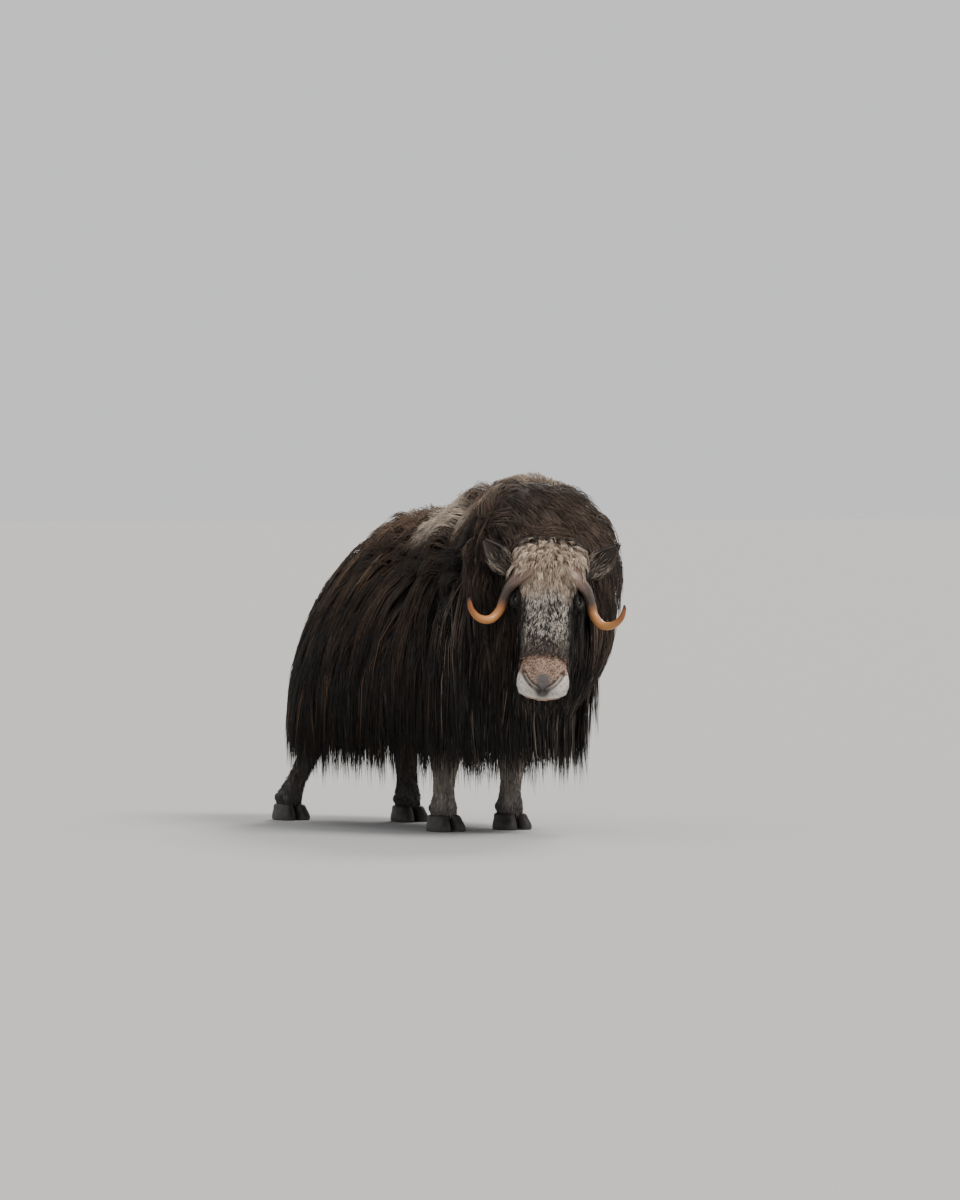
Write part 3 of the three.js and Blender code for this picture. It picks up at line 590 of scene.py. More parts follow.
# Legs, ears and tail
def leg_sheet(name, inset, rows=60, ring=40):
    table = LEGS[name]
    size = cubic(np.column_stack([-table[:, 2], table]), np.linspace(-table[0, 2], -table[-1, 2], rows))
    angle = angles(ring)
    forward, left, up, half, deep = (size[:, k, None] for k in range(5))
    tendon = 1 - 0.1 * np.cos(2 * angle) ** 2 * smooth(300, 200, up)
    ahead = np.sin(angle) * (deep - inset) * tendon
    across = np.cos(angle) * (half - inset) * tendon
    return Sheet("leg_" + name, place(forward + ahead, left + across, up))


def ear_sheet(side, rows=36, ring=40):
    root, tip = ear_ends(side)
    line = unit(tip - root)
    opening = head_rise + head_along * 0.3
    opening = unit(opening - line * (line @ opening))
    across = unit(np.cross(line, opening))
    share = np.linspace(0, 1, rows)
    width = EAR["half"] * evenly(np.array(EAR_WIDTHS)[:, None], rows)[:, 0]
    wall = EAR["wall"] * (0.5 + 0.5 * width / EAR["half"])
    turn = angles(ring)
    x = np.cos(turn)[None]
    bowl = -np.sqrt(np.maximum(1 - x * x, 0)) * EAR["curl"]
    hollow = np.maximum(width - wall, 1)[:, None]
    back = np.sin(turn)[None] < 0
    reach = np.where(back, x * width[:, None], x * hollow)
    depth = np.where(back, bowl * width[:, None], bowl * hollow + 0.2 * wall[:, None])
    centre = root + share[:, None] * (tip - root)
    grid = centre[:, None] + across * reach[..., None] + opening * depth[..., None]
    return Sheet("ear_left" if side > 0 else "ear_right", grid)


def tail_sheet(inset):
    forward, up, radius = (column[:, None] for column in evenly(TAIL, 24).T)
    angle = angles(24)
    radius = np.maximum(radius - inset, 3)
    return Sheet("tail", place(forward + np.cos(angle) * radius * 0.6, np.sin(angle) * radius, up))


legs = {name: leg_sheet(name, inset=5) for name in LEGS}
ears = {side: ear_sheet(side) for side in (1, -1)}
tail = tail_sheet(inset=6)


def tube(name, points, sizes, steps, ring):
    """A tube in the head's space; each size is its half width across the surface and its half thickness."""
    path = in_head(evenly(np.asarray(points, float), steps))
    size = evenly(np.asarray(sizes, float), steps)
    tangent = unit(np.gradient(path, axis=0))
    out = path - POLL
    out = out - (out @ head_along)[:, None] * head_along + head_rise
    out = unit(out - dot(out, tangent)[..., None] * tangent)
    across = np.cross(tangent, out)
    angle = angles(ring)
    grid = (
        path[:, None]
        + out[:, None] * (np.cos(angle)[None] * size[:, 1, None])[..., None]
        + across[:, None] * (np.sin(angle)[None] * size[:, 0, None])[..., None]
    )
    return Sheet(name, grid)


def lid_sheet(side, upper):
    sideways, rising = sin(EYE["facing"]) * side, cos(EYE["facing"])
    angle = np.linspace(0, pi, 9)
    high = upper * np.sin(angle) * LID["height"]
    out = LID["out"] + 5 * np.sin(angle)
    points = np.stack([
        EYE["side"] * side + sideways * out - rising * high * side,
        EYE["along"] - np.cos(angle) * LID["half"],
        EYE["rise"] + rising * out + sin(EYE["facing"]) * high,
    ], -1)
    return tube("rest", points, LID["sizes"], 30, 16)


lids = [lid_sheet(side, upper) for side in (1, -1) for upper in (1, -1)]


# Colours: the same markings serve the skin and the coat that grows from it
def mix(a, b, share):
    share = np.asarray(share)[..., None]
    return np.asarray(a) * (1 - share) + np.asarray(b) * share


def painted(colour, *layers):
    """A colour with others laid over it, each given as a colour and its share."""
    for over, share in layers:
        colour = mix(colour, over, np.clip(share, 0, 1))
    return colour


BLACK = np.array([0.0125, 0.0100, 0.0090])
BROWN = np.array([0.085, 0.052, 0.033])
PALE_BROWN = np.array([0.21, 0.135, 0.090])
CREAM = np.array([0.56, 0.46, 0.37])
DOME = np.array([0.112, 0.077, 0.057])
SILVER = np.array([0.50, 0.45, 0.40])


def before_valley(forward, left):
    """Distance ahead of the slanting valley between the hump's crest and the mane's dome."""
    return forward - 0.33 * left - 852


def trunk_colour(points):
    """Near-black flanks, a cream saddle, brown between them, a pale crest, a grey-brown mane and painted
    shadow in the valley.
    """
    forward, left, up = axes_of(points)
    ahead = before_valley(forward, left)
    patches = noise(points, 260, 21)
    fine = noise(points, 70, 22)
    high = smooth(840, 1090, up + 70 * patches + 25 * fine)
    behind = smooth(-620, -320, forward)
    brown = high * behind * (0.3 + 0.32 * (1 + fine) / 2)
    fluff = bump(forward - 150, 230) * smooth(1030, 1120, up + 30 * patches)
    slope = smooth(520, 640, forward) * smooth(1060, 1210, up + 30 * patches)
    above = up - 1000 - 0.33 * (forward - 300) + 16 * patches + 8 * fine
    saddle = smooth(0, 34, above) * smooth(285, 380, forward) * smooth(760, 690, forward)
    saddle = saddle * smooth(1045, 1105, up) * np.maximum(smooth(640, 580, forward), smooth(120, 70, above))
    crest = bump(ahead + 30, 26) * smooth(1190, 1270, up + 14 * fine)
    dome = smooth(0, 22, ahead) * smooth(820, 1130, up + 50 * patches)
    return painted(
        BLACK,
        (BROWN, brown * smooth(60, -120, ahead)),
        (PALE_BROWN, fluff * 0.85),
        ([0.145, 0.094, 0.064], slope * 0.9),
        (CREAM, saddle),
        ([0.52, 0.40, 0.31], crest * 0.9),
        (DOME * (1 + 0.25 * fine)[..., None], dome),
        # Painted shadow: a dark line along the valley between the hump's crest and the mane's dome, on skin
        # and coat alike
        (BLACK * 1.6, bump(ahead, 16) * smooth(850, 980, up) * 0.85),
    )


def head_colour(points):
    """Cream forehead, silver streaks below, dark cheeks and eyes, a brown-pink band and a white upper lip,
    with painted shade in the nostrils and along the mouth.
    """
    near = np.abs(points[..., 0])
    along, rise = points[..., 1], points[..., 2]
    fine = noise(points, 26, 31)
    speckle = noise(points, 9, 32)
    front = smooth(86, 60, near + 8 * fine) * smooth(0, 45, rise)
    brow = smooth(118, 86, near + 10 * fine) * smooth(20, 62, rise)
    local = eye_space(mirrored(points))
    round_eye = bump(np.hypot(local[..., 0] / 27, (local[..., 1] - 8) / 38), 1)
    band = smooth(430, 450, along + 8 * fine) * smooth(0, 30, rise + 6 * fine)
    pink = mix([0.36, 0.235, 0.170], [0.085, 0.055, 0.042], smooth(-0.1, 0.5, speckle))
    above = over_mouth(mirrored(points))
    muzzle = smooth(478, 508, along)
    slit_along, slit_rise = (np.interp(near, NOSE_EDGE[0], row) for row in NOSE_EDGE[1:])
    under = np.maximum(along - slit_along, slit_rise - rise) + 3 * fine
    pad = bump(to_path(mirrored(points), NOSE_PAD), 27) * smooth(500, 530, along)
    return painted(
        np.broadcast_to(BLACK * 1.5, points.shape),
        (DOME, smooth(40, -10, along) * smooth(-10, 30, rise)),
        (SILVER * 0.62, front * smooth(425, 360, along) * smooth(150, 200, along)),
        ([0.10, 0.08, 0.068], front * smooth(340, 400, along + 20 * fine)),
        ([0.60, 0.48, 0.375], brow * smooth(215, 150, along + 14 * fine)),
        (BLACK, round_eye * 1.3),
        (pink, band),
        ([0.72, 0.66, 0.60], smooth(4, 11, under) * smooth(2, 6, above) * muzzle),
        ([0.105, 0.090, 0.084], pad * 1.5),
        # Painted shade: near-black along the nostril slits, for the shade inside the openings
        ([0.008, 0.006, 0.005], bump(to_path(mirrored(points), NOSTRIL), 10) * 1.5),
        ([0.42, 0.29, 0.225], smooth(1, -3, above) * smooth(-40, -26, above) * muzzle),
        # Painted shade: a dark line in the crease of the mouth
        ([0.03, 0.018, 0.014], bump(above, 3) * muzzle),
    )


def leg_colour(points, name):
    up = points[..., 2]
    fine = noise(points, 60, 41)
    front = name.startswith("front")
    pale = [0.40, 0.345, 0.30] if front else [0.095, 0.078, 0.070]
    low = [0.16, 0.15, 0.148] if front else [0.085, 0.078, 0.078]
    return painted(
        BLACK * 1.4,
        (pale, smooth(440, 340, up + 50 * fine) * (0.7 + 0.3 * fine)),
        (low, smooth(190, 80, up + 30 * fine) * 0.75),
    )


def ear_colour(points):
    fine = noise(points, 20, 51)
    reach = smooth(170, 235, np.abs(to_head(points)[..., 0]))
    return painted(BLACK * 1.5, ([0.075, 0.056, 0.045], reach * (0.6 + 0.4 * fine)))


# Materials
GRAIN_DEPTH = 0.001


def material(name, roughness, specular, colour=None, coat=0.0, grain_scale=None, grain_strength=0.2):
    """A finish whose colour is the mesh's own Tint, unless one is given."""
    made = bpy.data.materials.new(name)
    made.use_nodes = True
    nodes, link = made.node_tree.nodes, made.node_tree.links.new
    shader = nodes["Principled BSDF"]
    shader.inputs["Roughness"].default_value = roughness
    shader.inputs["Specular IOR Level"].default_value = specular
    shader.inputs["Coat Weight"].default_value = coat
    shader.inputs["Coat Roughness"].default_value = 0.03
    if colour:
        shader.inputs["Base Color"].default_value = (*colour, 1)
    else:
        tint = nodes.new("ShaderNodeAttribute")
        tint.attribute_name = "Tint"
        link(tint.outputs["Color"], shader.inputs["Base Color"])
    if grain_scale:
        grain = nodes.new("ShaderNodeTexNoise")
        grain.inputs["Scale"].default_value = grain_scale
        grain.inputs["Detail"].default_value = 4
        link(nodes.new("ShaderNodeTexCoord").outputs["Object"], grain.inputs["Vector"])
        relief = nodes.new("ShaderNodeBump")
        relief.inputs["Strength"].default_value = grain_strength
        relief.inputs["Distance"].default_value = GRAIN_DEPTH
        link(grain.outputs["Fac"], relief.inputs["Height"])
        link(relief.outputs["Normal"], shader.inputs["Normal"])
    return made


HAIR = material("Hair", 0.62, 0.35)
SKIN = material("Skin", 0.6, 0.4, grain_scale=380, grain_strength=0.5)
HORN = material("Horn", 0.34, 0.5, grain_scale=160, grain_strength=0.15)
HOOF = material("Hoof", 0.55, 0.4, grain_scale=240, grain_strength=0.4)
EYEBALL = material("Eye", 0.08, 0.6, coat=1.0)


def dress(made, finish, slot, *nodes):
    made.data.materials.append(finish)
    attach(made, "root")
    if nodes:
        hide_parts(*nodes)
    return made


# The skin
skin = [
    # The trunk's skin is its coat's colour darkened to 0.6: painted shade for the shadow under the fur
    (trunk_skin, trunk_colour(trunk_skin.grid) * 0.6),
    (head_skin, head_colour(head_local.grid)),
    *((sheet, leg_colour(sheet.grid, name)) for name, sheet in legs.items()),
    *((sheet, ear_colour(sheet.grid)) for sheet in ears.values()),
    (tail, BLACK),
    *((sheet, BLACK * 1.3) for sheet in lids),
]
flesh = ["hindquarters", "barrel", "shoulders", "neck", "head", "ear_left", "ear_right", "tail"]
flesh += ["leg_" + name for name in LEGS]
dress(solid_object("skin", *skin), SKIN, "coat", *flesh)


# Eyes, horns, hooves and dewclaws
def ball_sheet(centre, axes, rows=32, ring=40):
    polar = np.linspace(0.02, pi - 0.02, rows)[:, None]
    turn = angles(ring)[None]
    parts = np.sin(polar) * np.cos(turn), np.sin(polar) * np.sin(turn), np.cos(polar)
    return Sheet("rest", centre + np.stack(np.broadcast_arrays(*parts), -1) @ axes)


HORN_ROWS, HORN_RING = 96, 32
for label, side in (("left", 1), ("right", -1)):
    middle, out = eye_place(side)
    across = np.cross(head_along, out)
    ball = ball_sheet(middle, np.stack([across, head_along, out]) * EYE["radius"])
    local = (ball.grid - ball.grid.reshape(-1, 3).mean(0)) / EYE["radius"]
    wide, high, front = local @ unit(across), local @ head_along, local @ out
    tint = painted(
        [0.05, 0.035, 0.03],
        ([0.045, 0.020, 0.008], smooth(0.62, 0.56, np.hypot(wide, high)) * (front > 0)),
        ([0.002, 0.002, 0.002], smooth(0.02, -0.02, np.hypot(wide / 0.2, high / 0.42) - 1) * (front > 0)),
    )
    dress(solid_object("eyeball_" + label, (ball, tint)), EYEBALL, "eye", "eye_" + label)

    horn = tube("rest", HORN_PATH * [side, 1, 1], HORN_SIZES * 0.985, HORN_ROWS, HORN_RING)
    share = np.broadcast_to(np.linspace(0, 1, HORN_ROWS)[:, None], (HORN_ROWS, HORN_RING))
    waves = np.sin(np.arange(HORN_RING) * 0.8) * 40
    fibre = noise(np.stack([share * 900, waves + 0 * share, 0 * share], -1), 60, 61)
    rough = smooth(0.42, 0.1, share)
    turn = angles(HORN_RING)
    ridges = np.sin(turn * 9 + 0.6 * fibre) * 0.7 * rough + fibre * 0.9 * rough
    horn = horn.moved("rest", ridges - 0.9 * rough)
    streaks = np.sin(turn * 7) * np.sin(turn * 3 + 1)
    tint = painted(
        [0.24, 0.155, 0.118],
        ([0.060, 0.043, 0.036], smooth(0.10, 0.34, share + 0.05 * fibre + 0.03 * streaks)),
        ([0.34, 0.125, 0.038], smooth(0.40, 0.50, share + 0.03 * fibre)),
        # A brighter orange band: partly the horn's own colour, partly a painted highlight round the horn
        ([0.62, 0.285, 0.100], bump(share - 0.64, 0.13) * 0.85),
        ([0.30, 0.10, 0.028], smooth(0.74, 0.86, share)),
        ([0.030, 0.016, 0.010], smooth(0.86, 0.97, share)),
    )
    dress(solid_object("horn_sheath_" + label, (horn, tint)), HORN, "horn", "horn_" + label)


# A toe's outline from the sole up: place in the curve, height, share of the full size, how far it leans back
TOE_ROWS = np.array([
    [0, 0, 0.93, 0], [1, 3, 0.975, 0], [2, 12, 1, 0], [5, 40, 0.88, 6], [8, 61, 0.72, 14], [9, 61.6, 0.5, 14],
])


def toe_sheet(forward, left, side):
    up, size, back = (column[:, None] for column in cubic(TOE_ROWS, np.linspace(0, 9, 30)).T)
    up = np.clip(up, 0, TOE["height"])
    turn = angles(40)[None]
    inner = np.sign(np.cos(turn)) * np.abs(np.cos(turn)) ** 0.7
    across = TOE["cleft"] / 2 + (1 + inner) / 2 * TOE["width"] * size
    rings = 0.7 * np.sin(up * 0.9) * smooth(8, 20, up)
    ahead = TOE["ahead"] - back + np.sin(turn) * (TOE["length"] / 2 * size + rings)
    return Sheet("rest", place(forward + ahead, left + side * across, up))


tilt_cos, tilt_sin = cos(DEWCLAW["tilt"]), sin(DEWCLAW["tilt"])
dewclaw_axes = np.array([[1, 0, 0], [0, tilt_cos, tilt_sin], [0, -tilt_sin, tilt_cos]]) * DEWCLAW["half"]
for name, stations in LEGS.items():
    forward, left = stations[-1][:2]
    for label, side in (("left", 1), ("right", -1)):
        toe = toe_sheet(forward, left, side)
        worn = noise(toe.grid, 30, 71)[..., None]
        tint = np.array([0.040, 0.035, 0.032]) * (1 + 0.35 * worn) + 0.03 * smooth(16, 2, toe.grid[..., 2:])
        dress(solid_object(f"hoof_{name}_{label}", (toe, tint)), HOOF, "hoof", f"toe_{name}_{label}")
        middle = place(forward - DEWCLAW["behind"], left + side * DEWCLAW["side"], DEWCLAW["up"])
        claw = ball_sheet(middle, dewclaw_axes, 16, 20), [0.035, 0.03, 0.028]
        dress(solid_object(f"dewclaw_{name}_{label}", claw), HOOF, "hoof")


# The coat: guide curves grow over a hull and fall, and each carries a clump of strands
def tree_of(sheet):
    faces, _ = sheet.faces(0)
    middles, ends = caps(sheet.grid, 0)
    points = np.concatenate([sheet.grid.reshape(-1, 3), middles])
    return BVHTree.FromPolygons(points.tolist(), faces.tolist() + ends.tolist())


TRUNK_TREE = tree_of(trunk_hull)
HEAD_TREE = tree_of(head_hull)
DOWN = np.array([0, 0, -1.0])
BACKWARD = np.array([0, 1.0, 0])
GUIDE_STEPS = 9
ROOTS_FROM_HEAD, HAIR_FROM_HEAD = 8, 6
DENSITY = 1.0


def nearest(tree, points):
    """Height of points over a closed surface, below zero inside it, and the outward direction there."""
    heights, outs = np.empty(len(points)), np.empty((len(points), 3))
    for i, point in enumerate(points):
        spot, normal, _, distance = tree.find_nearest(point)
        offset = Vector(point) - spot
        inside = offset.dot(normal) < 0
        heights[i] = -distance if inside else distance
        outs[i] = normal if distance < 1e-6 else offset * ((-1 if inside else 1) / distance)
    return heights, outs


def grow(
    points, normals, flow, length, depth, layer, droop, stick,
    tree=TRUNK_TREE, beside=HEAD_TREE, free=0.15, lean=0, rise=0.3, sunk=3,
):
    """Guide curves from points of the skin: they rise through the coat, follow the hull in layers and droop.

    stick is how far they are kept from standing off the hull, from 0 to 1. They hang straight down where
    the hull's outward direction rises less than free, and lean along the body by as much as lean says."""
    paths, outs = (np.empty((len(points), GUIDE_STEPS + 1, 3)) for _ in range(2))
    here = points - normals * sunk
    paths[:, 0] = here
    outs[:, 0] = normals
    heading = unit(flow + rise * normals)
    step = (length / GUIDE_STEPS)[:, None]
    for k in range(1, GUIDE_STEPS + 1):
        share = k / GUIDE_STEPS
        before = here
        here = here + heading * step
        height, out = nearest(tree, here)
        kept = smooth(-0.3, 0, out[:, 2] - free)
        want = -depth + (depth + layer) * smooth(0, 0.42, share)
        move = np.maximum(want - height, 0) - np.maximum(height - want - 2, 0) * stick * kept
        here = here + out * move[:, None]
        if beside is not None:
            other, other_out = nearest(beside, here)
            here = here + other_out * np.maximum(HAIR_FROM_HEAD - other, 0)[:, None]
        heading = unit(unit(here - before) + DOWN * (droop * share))
        hangs = smooth(0.5, 0.1, out[:, 2]) * smooth(-30, 15, height)
        level = unit(out * [1, 1, 1e-3])
        heading = heading - level * (np.maximum(dot(heading, level), 0) * hangs)[:, None]
        heading[:, :2] *= (0.25 + 0.75 * kept)[:, None]
        heading[:, 1] += (1 - kept) * lean
        heading = unit(heading)
        inward = np.minimum(dot(heading, out), 0) * smooth(40, 5, height)
        heading = unit(heading - out * inward[:, None])
        paths[:, k] = here
        loose = smooth(12, 45, height)[:, None]
        outs[:, k] = unit(out * (1 - loose) + outs[:, k - 1] * loose)
    for _ in range(2):
        paths[:, 1:-1] = paths[:, 1:-1] / 2 + (paths[:, :-2] + paths[:, 2:]) / 4
    return paths, outs


def clumps(guides, count, rings, width, spread, gather, loose, shade, seed, streak):
    """Strands round each guide, closer at its tip, as strands() takes them.

    Guides are paths, outward directions, places on the unwrap and colours. A streak is a colour and how
    many of the strands have it."""
    paths, outs, uv, tint = guides
    made = seeded(seed)
    n = len(paths)
    radius = spread * np.sqrt(made.uniform(size=(n, count)))
    turn = made.uniform(0, 2 * pi, (n, count))
    a, b = radius * np.cos(turn), radius * np.sin(turn)
    reach = made.uniform(0.7, 1.0, (n, count))
    share = np.linspace(0, 1, rings + 1)
    along = reach[..., None] * share * (paths.shape[1] - 1)
    low = np.clip(np.floor(along).astype(int), 0, paths.shape[1] - 2)
    part = (along - low)[..., None]
    rows = np.arange(n)[:, None, None]
    spot, out, tangent = (
        values[rows, low] * (1 - part) + values[rows, low + 1] * part
        for values in (paths, outs, unit(np.gradient(paths, axis=1)))
    )
    out, tangent = unit(out), unit(tangent)
    across = unit(np.cross(tangent, out))
    side = a[..., None] * (1 - gather * smooth(0, 1, share))
    side = side + loose * made.normal(size=(n, count, 1)) * share**1.5
    phase = made.uniform(0, 2 * pi, (n, count, 1))
    side = side + 0.35 * loose * np.sin(phase + share * rings * 1.3) * share
    lift = loose * 0.45 * made.normal(size=(n, count, 1)) * share**1.5
    spot = spot + across * side[..., None] + tangent * b[..., None, None] + out * lift[..., None]
    spot[..., 0, :] -= out[..., 0, :] * 3
    taper = np.interp(share, [0, 0.15, 0.6, 0.9, 1], [0.6, 1, 0.85, 0.42, 0])
    widths = (width * made.uniform(0.7, 1.3, (n, count)))[..., None] * taper
    tone = 1 + shade * made.normal(size=(n, 1, 1, 1)) + 0.6 * shade * made.normal(size=(n, count, 1, 1))
    tone = np.clip(tone, 0.3, 2.6) * (0.7 + 0.5 * share)[:, None]
    base = np.broadcast_to(tint[:, None], (n, count, 3))
    if streak is not None:
        colour, portion = streak
        chosen = made.uniform(size=(n, count)) < portion * (0.3 + 1.4 * made.uniform(size=(n, 1)))
        base = np.where(chosen[..., None], np.asarray(colour), base)
    tints = base[:, :, None] * tone
    every = n * count
    spot, out, tints = (values.reshape(every, rings + 1, 3) for values in (spot, out, tints))
    return spot, widths.reshape(every, rings + 1), out, np.repeat(uv, count, 0), tints


def coat_piece(name, slot, *parts):
    """One piece of coat from strands made by clumps() or short_hair()."""
    joined = [np.concatenate(group) for group in zip(*parts)]
    return dress(strands(name, *joined), HAIR, slot)


def along_skin(vectors, normals):
    """Vectors laid down on the skin."""
    return unit(vectors - normals * dot(vectors, normals)[..., None])


def combed(flow, normals, made, spread):
    """Directions with some seeded disorder, laid down on the skin."""
    return along_skin(flow + spread * made.normal(size=normals.shape), normals)


def sown(sheet, count, weight, seed):
    """Roots on a skin, and a seeded source of random numbers for what grows from them."""
    points, normals, uv = sheet.roots(int(count * DENSITY), weight, seed)
    return points, normals, uv, seeded(seed + 1)


def sown_on_trunk(count, weight, seed):
    """Roots on the trunk, outside the head."""
    points, normals, uv, made = sown(trunk_skin, count, weight, seed)
    keep = nearest(HEAD_TREE, points)[0] > ROOTS_FROM_HEAD
    return points[keep], normals[keep], uv[keep], made


# The long coat's pieces end at these places along the body
RUMP_END, FLANK_END, SHOULDER_END = -430, 180, 700
# Each coat's clumps: strands, rings, width, spread, gathering, looseness, shade and seed
LONG_COAT = 14, 4, 2.1, 34, 0.5, 9, 0.3
MANE_COAT = 17, 3, 1.3, 32, 0.12, 4, 0.16
FACE_COAT = 3, 3, 1.15, 7, 0.3, 2.6, 0.2, 231
CLUMPS = {
    "back_coat": (15, 3, 1.8, 34, 0.35, 12, 0.25, 211),
    "hump_coat": (*MANE_COAT, 221),
    "mane": (*MANE_COAT, 222),
    "face_hair": FACE_COAT,
    "forehead_hair": FACE_COAT,
    "forelock": (11, 3, 1.0, 14, 0.4, 4, 0.2, 241),
    "beard": (10, 3, 1.3, 14, 0.35, 8, 0.25, 251),
}


def clumped_piece(name, slot, guides, chosen=slice(None), streak=None):
    """A piece of coat on the chosen guides."""
    coat_piece(name, slot, clumps([values[chosen] for values in guides], *CLUMPS[name], streak))


def back_share(points):
    """1 on the back, where hair lies along the body, and 0 on the flanks."""
    _, left, up = axes_of(points)
    return smooth(960, 1180, up + 0.2 * np.abs(left))


def mane_share(points):
    """1 on the hump and the mane before it."""
    forward, _, up = axes_of(points)
    return smooth(600, 690, forward) * smooth(880, 1080, up)


# Flanks, rump, chest and skirt
def flank_weight(points, normals):
    under = smooth(-0.8, -0.45, normals[..., 2])
    free = 1 - np.maximum(back_share(points), mane_share(points))
    return under * free * (0.6 + 0.4 * smooth(900, 500, points[..., 2]))


points, normals, uv, made = sown_on_trunk(1650, flank_weight, 101)
forward, left, up = axes_of(points)
back = 0.5 * smooth(700, 200, forward) * smooth(-620, -430, forward) * smooth(500, 900, up)
flow = DOWN + BACKWARD * (back + 0.08)[:, None]
flow[:, :2] += 0.12 * made.normal(size=(len(points), 2))
flow = along_skin(flow, normals)
tip = 225 + 55 * noise(points, 90, 103) + 90 * made.uniform(-0.4, 1, len(points)) ** 2
for name, stations in LEGS.items():
    by_leg = np.hypot(forward - stations[ANKLE][0], left - stations[ANKLE][1])
    tip = tip + (95 if name.startswith("front") else 40) * bump(by_leg, 120) * smooth(40, 130, np.abs(left))
length = np.minimum(1.16 * (up - tip), made.uniform(380, 600, len(points)))
depth = coat_depth(forward) * 0.98
layer = -made.uniform(0.12, 0.45, len(points)) * depth
free = 0.15 - 0.85 * smooth(700, 800, forward) * smooth(480, 620, up)
lean = 0.13 * noise(points, 170, 104) + 0.05 * made.normal(size=len(points))
paths, outs = grow(points, normals, flow, length, depth, layer, droop=0.5, stick=1, free=free, lean=lean)
tint = trunk_colour(points)
guides = paths, outs, uv, mix(tint, BROWN, smooth(0.12, 0.22, tint[:, 0]))
regions = {"rump_coat": forward < RUMP_END}
for name, start, end in (("flank", RUMP_END, FLANK_END), ("shoulder", FLANK_END, SHOULDER_END)):
    for label, beside in (("left", left > 0), ("right", left <= 0)):
        regions[f"{name}_coat_{label}"] = (forward >= start) & (forward < end) & beside
regions["chest_coat"] = forward >= SHOULDER_END
for number, (name, chosen) in enumerate(regions.items()):
    CLUMPS[name] = (*LONG_COAT, 200 + number)
    streak = ([0.13, 0.098, 0.074], 0.09) if name == "chest_coat" else ([0.080, 0.042, 0.022], 0.08)
    clumped_piece(name, "coat", guides, chosen, streak)


# The back and its pale saddle: shorter and fluffier
def back_weight(points, normals):
    return back_share(points) * (1 - mane_share(points)) * (0.7 + 0.6 * bump(points[..., 1] + 350, 250))


points, normals, uv, made = sown_on_trunk(700, back_weight, 111)
forward, left, _ = axes_of(points)
flow = BACKWARD * 0.9 + DOWN * 0.35 + np.sign(left)[:, None] * [0.45, 0, 0]
flow = combed(flow, normals, made, 0.3)
length = made.uniform(110, 165, len(points)) * (1 - 0.25 * bump(forward - 330, 250))
depth = coat_depth(forward) * 0.95
layer = -(made.uniform(0.0, 0.4, len(points)) + 0.45 * smooth(120, -60, forward)) * depth
paths, outs = grow(points, normals, flow, length, depth, layer, droop=0.15, stick=0.7)
clumped_piece("back_coat", "coat", (paths, outs, uv, trunk_colour(points)))


# The hump and the mane: dense, short and parted on the right of the neck
def mane_weight(points, normals):
    forward, left, _ = axes_of(points)
    parting = bump(before_valley(forward, left), 70)
    return mane_share(points) * (normals[..., 2] > -0.5) * (0.7 + 1.6 * parting)


MANE_PARTING = -300
points, normals, uv, made = sown_on_trunk(1700, mane_weight, 121)
forward, left, up = axes_of(points)
dome = before_valley(forward, left) > 0
side = np.where(dome, np.tanh((left - MANE_PARTING) / 70), np.tanh(left / 120))
flow = np.column_stack([0.85 * side, np.where(dome, -0.5, 0.8), np.full(len(points), -0.5)])
flow = combed(flow, normals, made, 0.1)
length = made.uniform(95, 140, len(points)) + 80 * smooth(1100, 950, up)
length = length + 70 * smooth(110, 30, nearest(HEAD_TREE, points)[0])
depth = coat_depth(forward) * 0.97
low = np.where(dome, 0.6 - 0.4 * smooth(1240, 1050, up), 0.62 + 0.2 * smooth(40, -60, left))
layer = -(low + made.uniform(-0.08, 0.1, len(points))) * depth
paths, outs = grow(points, normals, flow, length, depth, layer, droop=0.12, stick=0.95)
guides = paths, outs, uv, trunk_colour(points)
clumped_piece("hump_coat", "mane", guides, ~dome)
clumped_piece("mane", "mane", guides, dome)


# Hair of the head: its weights, flows and lengths are functions of places in the head's space
def grown_on_head(count, weight, seed, flow_of, length_of, depth, layer, droop):
    """Roots on the head's skin, and guide curves that lie on its hull."""
    points, normals, uv, made = sown(head_skin, count, lambda p, n: weight(to_head(p)), seed)
    local = to_head(points)
    flow = combed(np.asarray(flow_of(local)) @ HEAD_AXES, normals, made, 0.14)
    length = length_of(local) * made.uniform(0.8, 1.2, len(points))
    layer = layer * made.uniform(0.2, 1, len(points))
    surface = {"tree": HEAD_TREE, "beside": None, "rise": 0.1, "sunk": 2}
    paths, outs = grow(points, normals, flow, length, depth, layer, droop, stick=0.8, **surface)
    return paths, outs, uv, local


def clear_of_horns(local):
    near = mirrored(local)
    size = np.interp(near[..., 0], HORN_PATH[:6, 0], HORN_SIZES[:6, 0])
    return smooth(0.75, 1.0, to_path(near, HORN_PATH[:7]) / size)


def clear_of_eyes(local):
    near = eye_space(mirrored(local))
    return (near[..., 0] / 15) ** 2 + (near[..., 1] / 25) ** 2 > 1


def face_weight(local):
    near = mirrored(local)
    bare = to_path(near, NOSE_PAD) > 30
    slit = to_path(near, NOSTRIL) > 13
    mouth = to_path(near, MOUTH) > 6
    inside = (local[..., 1] > -64) & (local[..., 1] < 577)
    front = 0.6 + 0.4 * smooth(-60, 20, local[..., 2])
    return clear_of_horns(local) * clear_of_eyes(local) * bare * slit * mouth * inside * front


def long_face_weight(local):
    return face_weight(local) * smooth(458, 438, local[..., 1])


def muzzle_weight(points, normals):
    local = to_head(points)
    return face_weight(local) * smooth(425, 448, local[..., 1])


def muzzle_flow(points, normals):
    return head_side * np.sign(to_head(points)[:, :1]) + 0.5 * head_along - 0.2 * head_rise


def face_flow(local):
    near = np.abs(local[..., 0])
    side = np.sign(local[..., 0]) * (0.22 + 0.6 * smooth(60, 110, near))
    return np.stack([side, np.ones_like(side), -0.6 * smooth(70, 110, near)], -1)


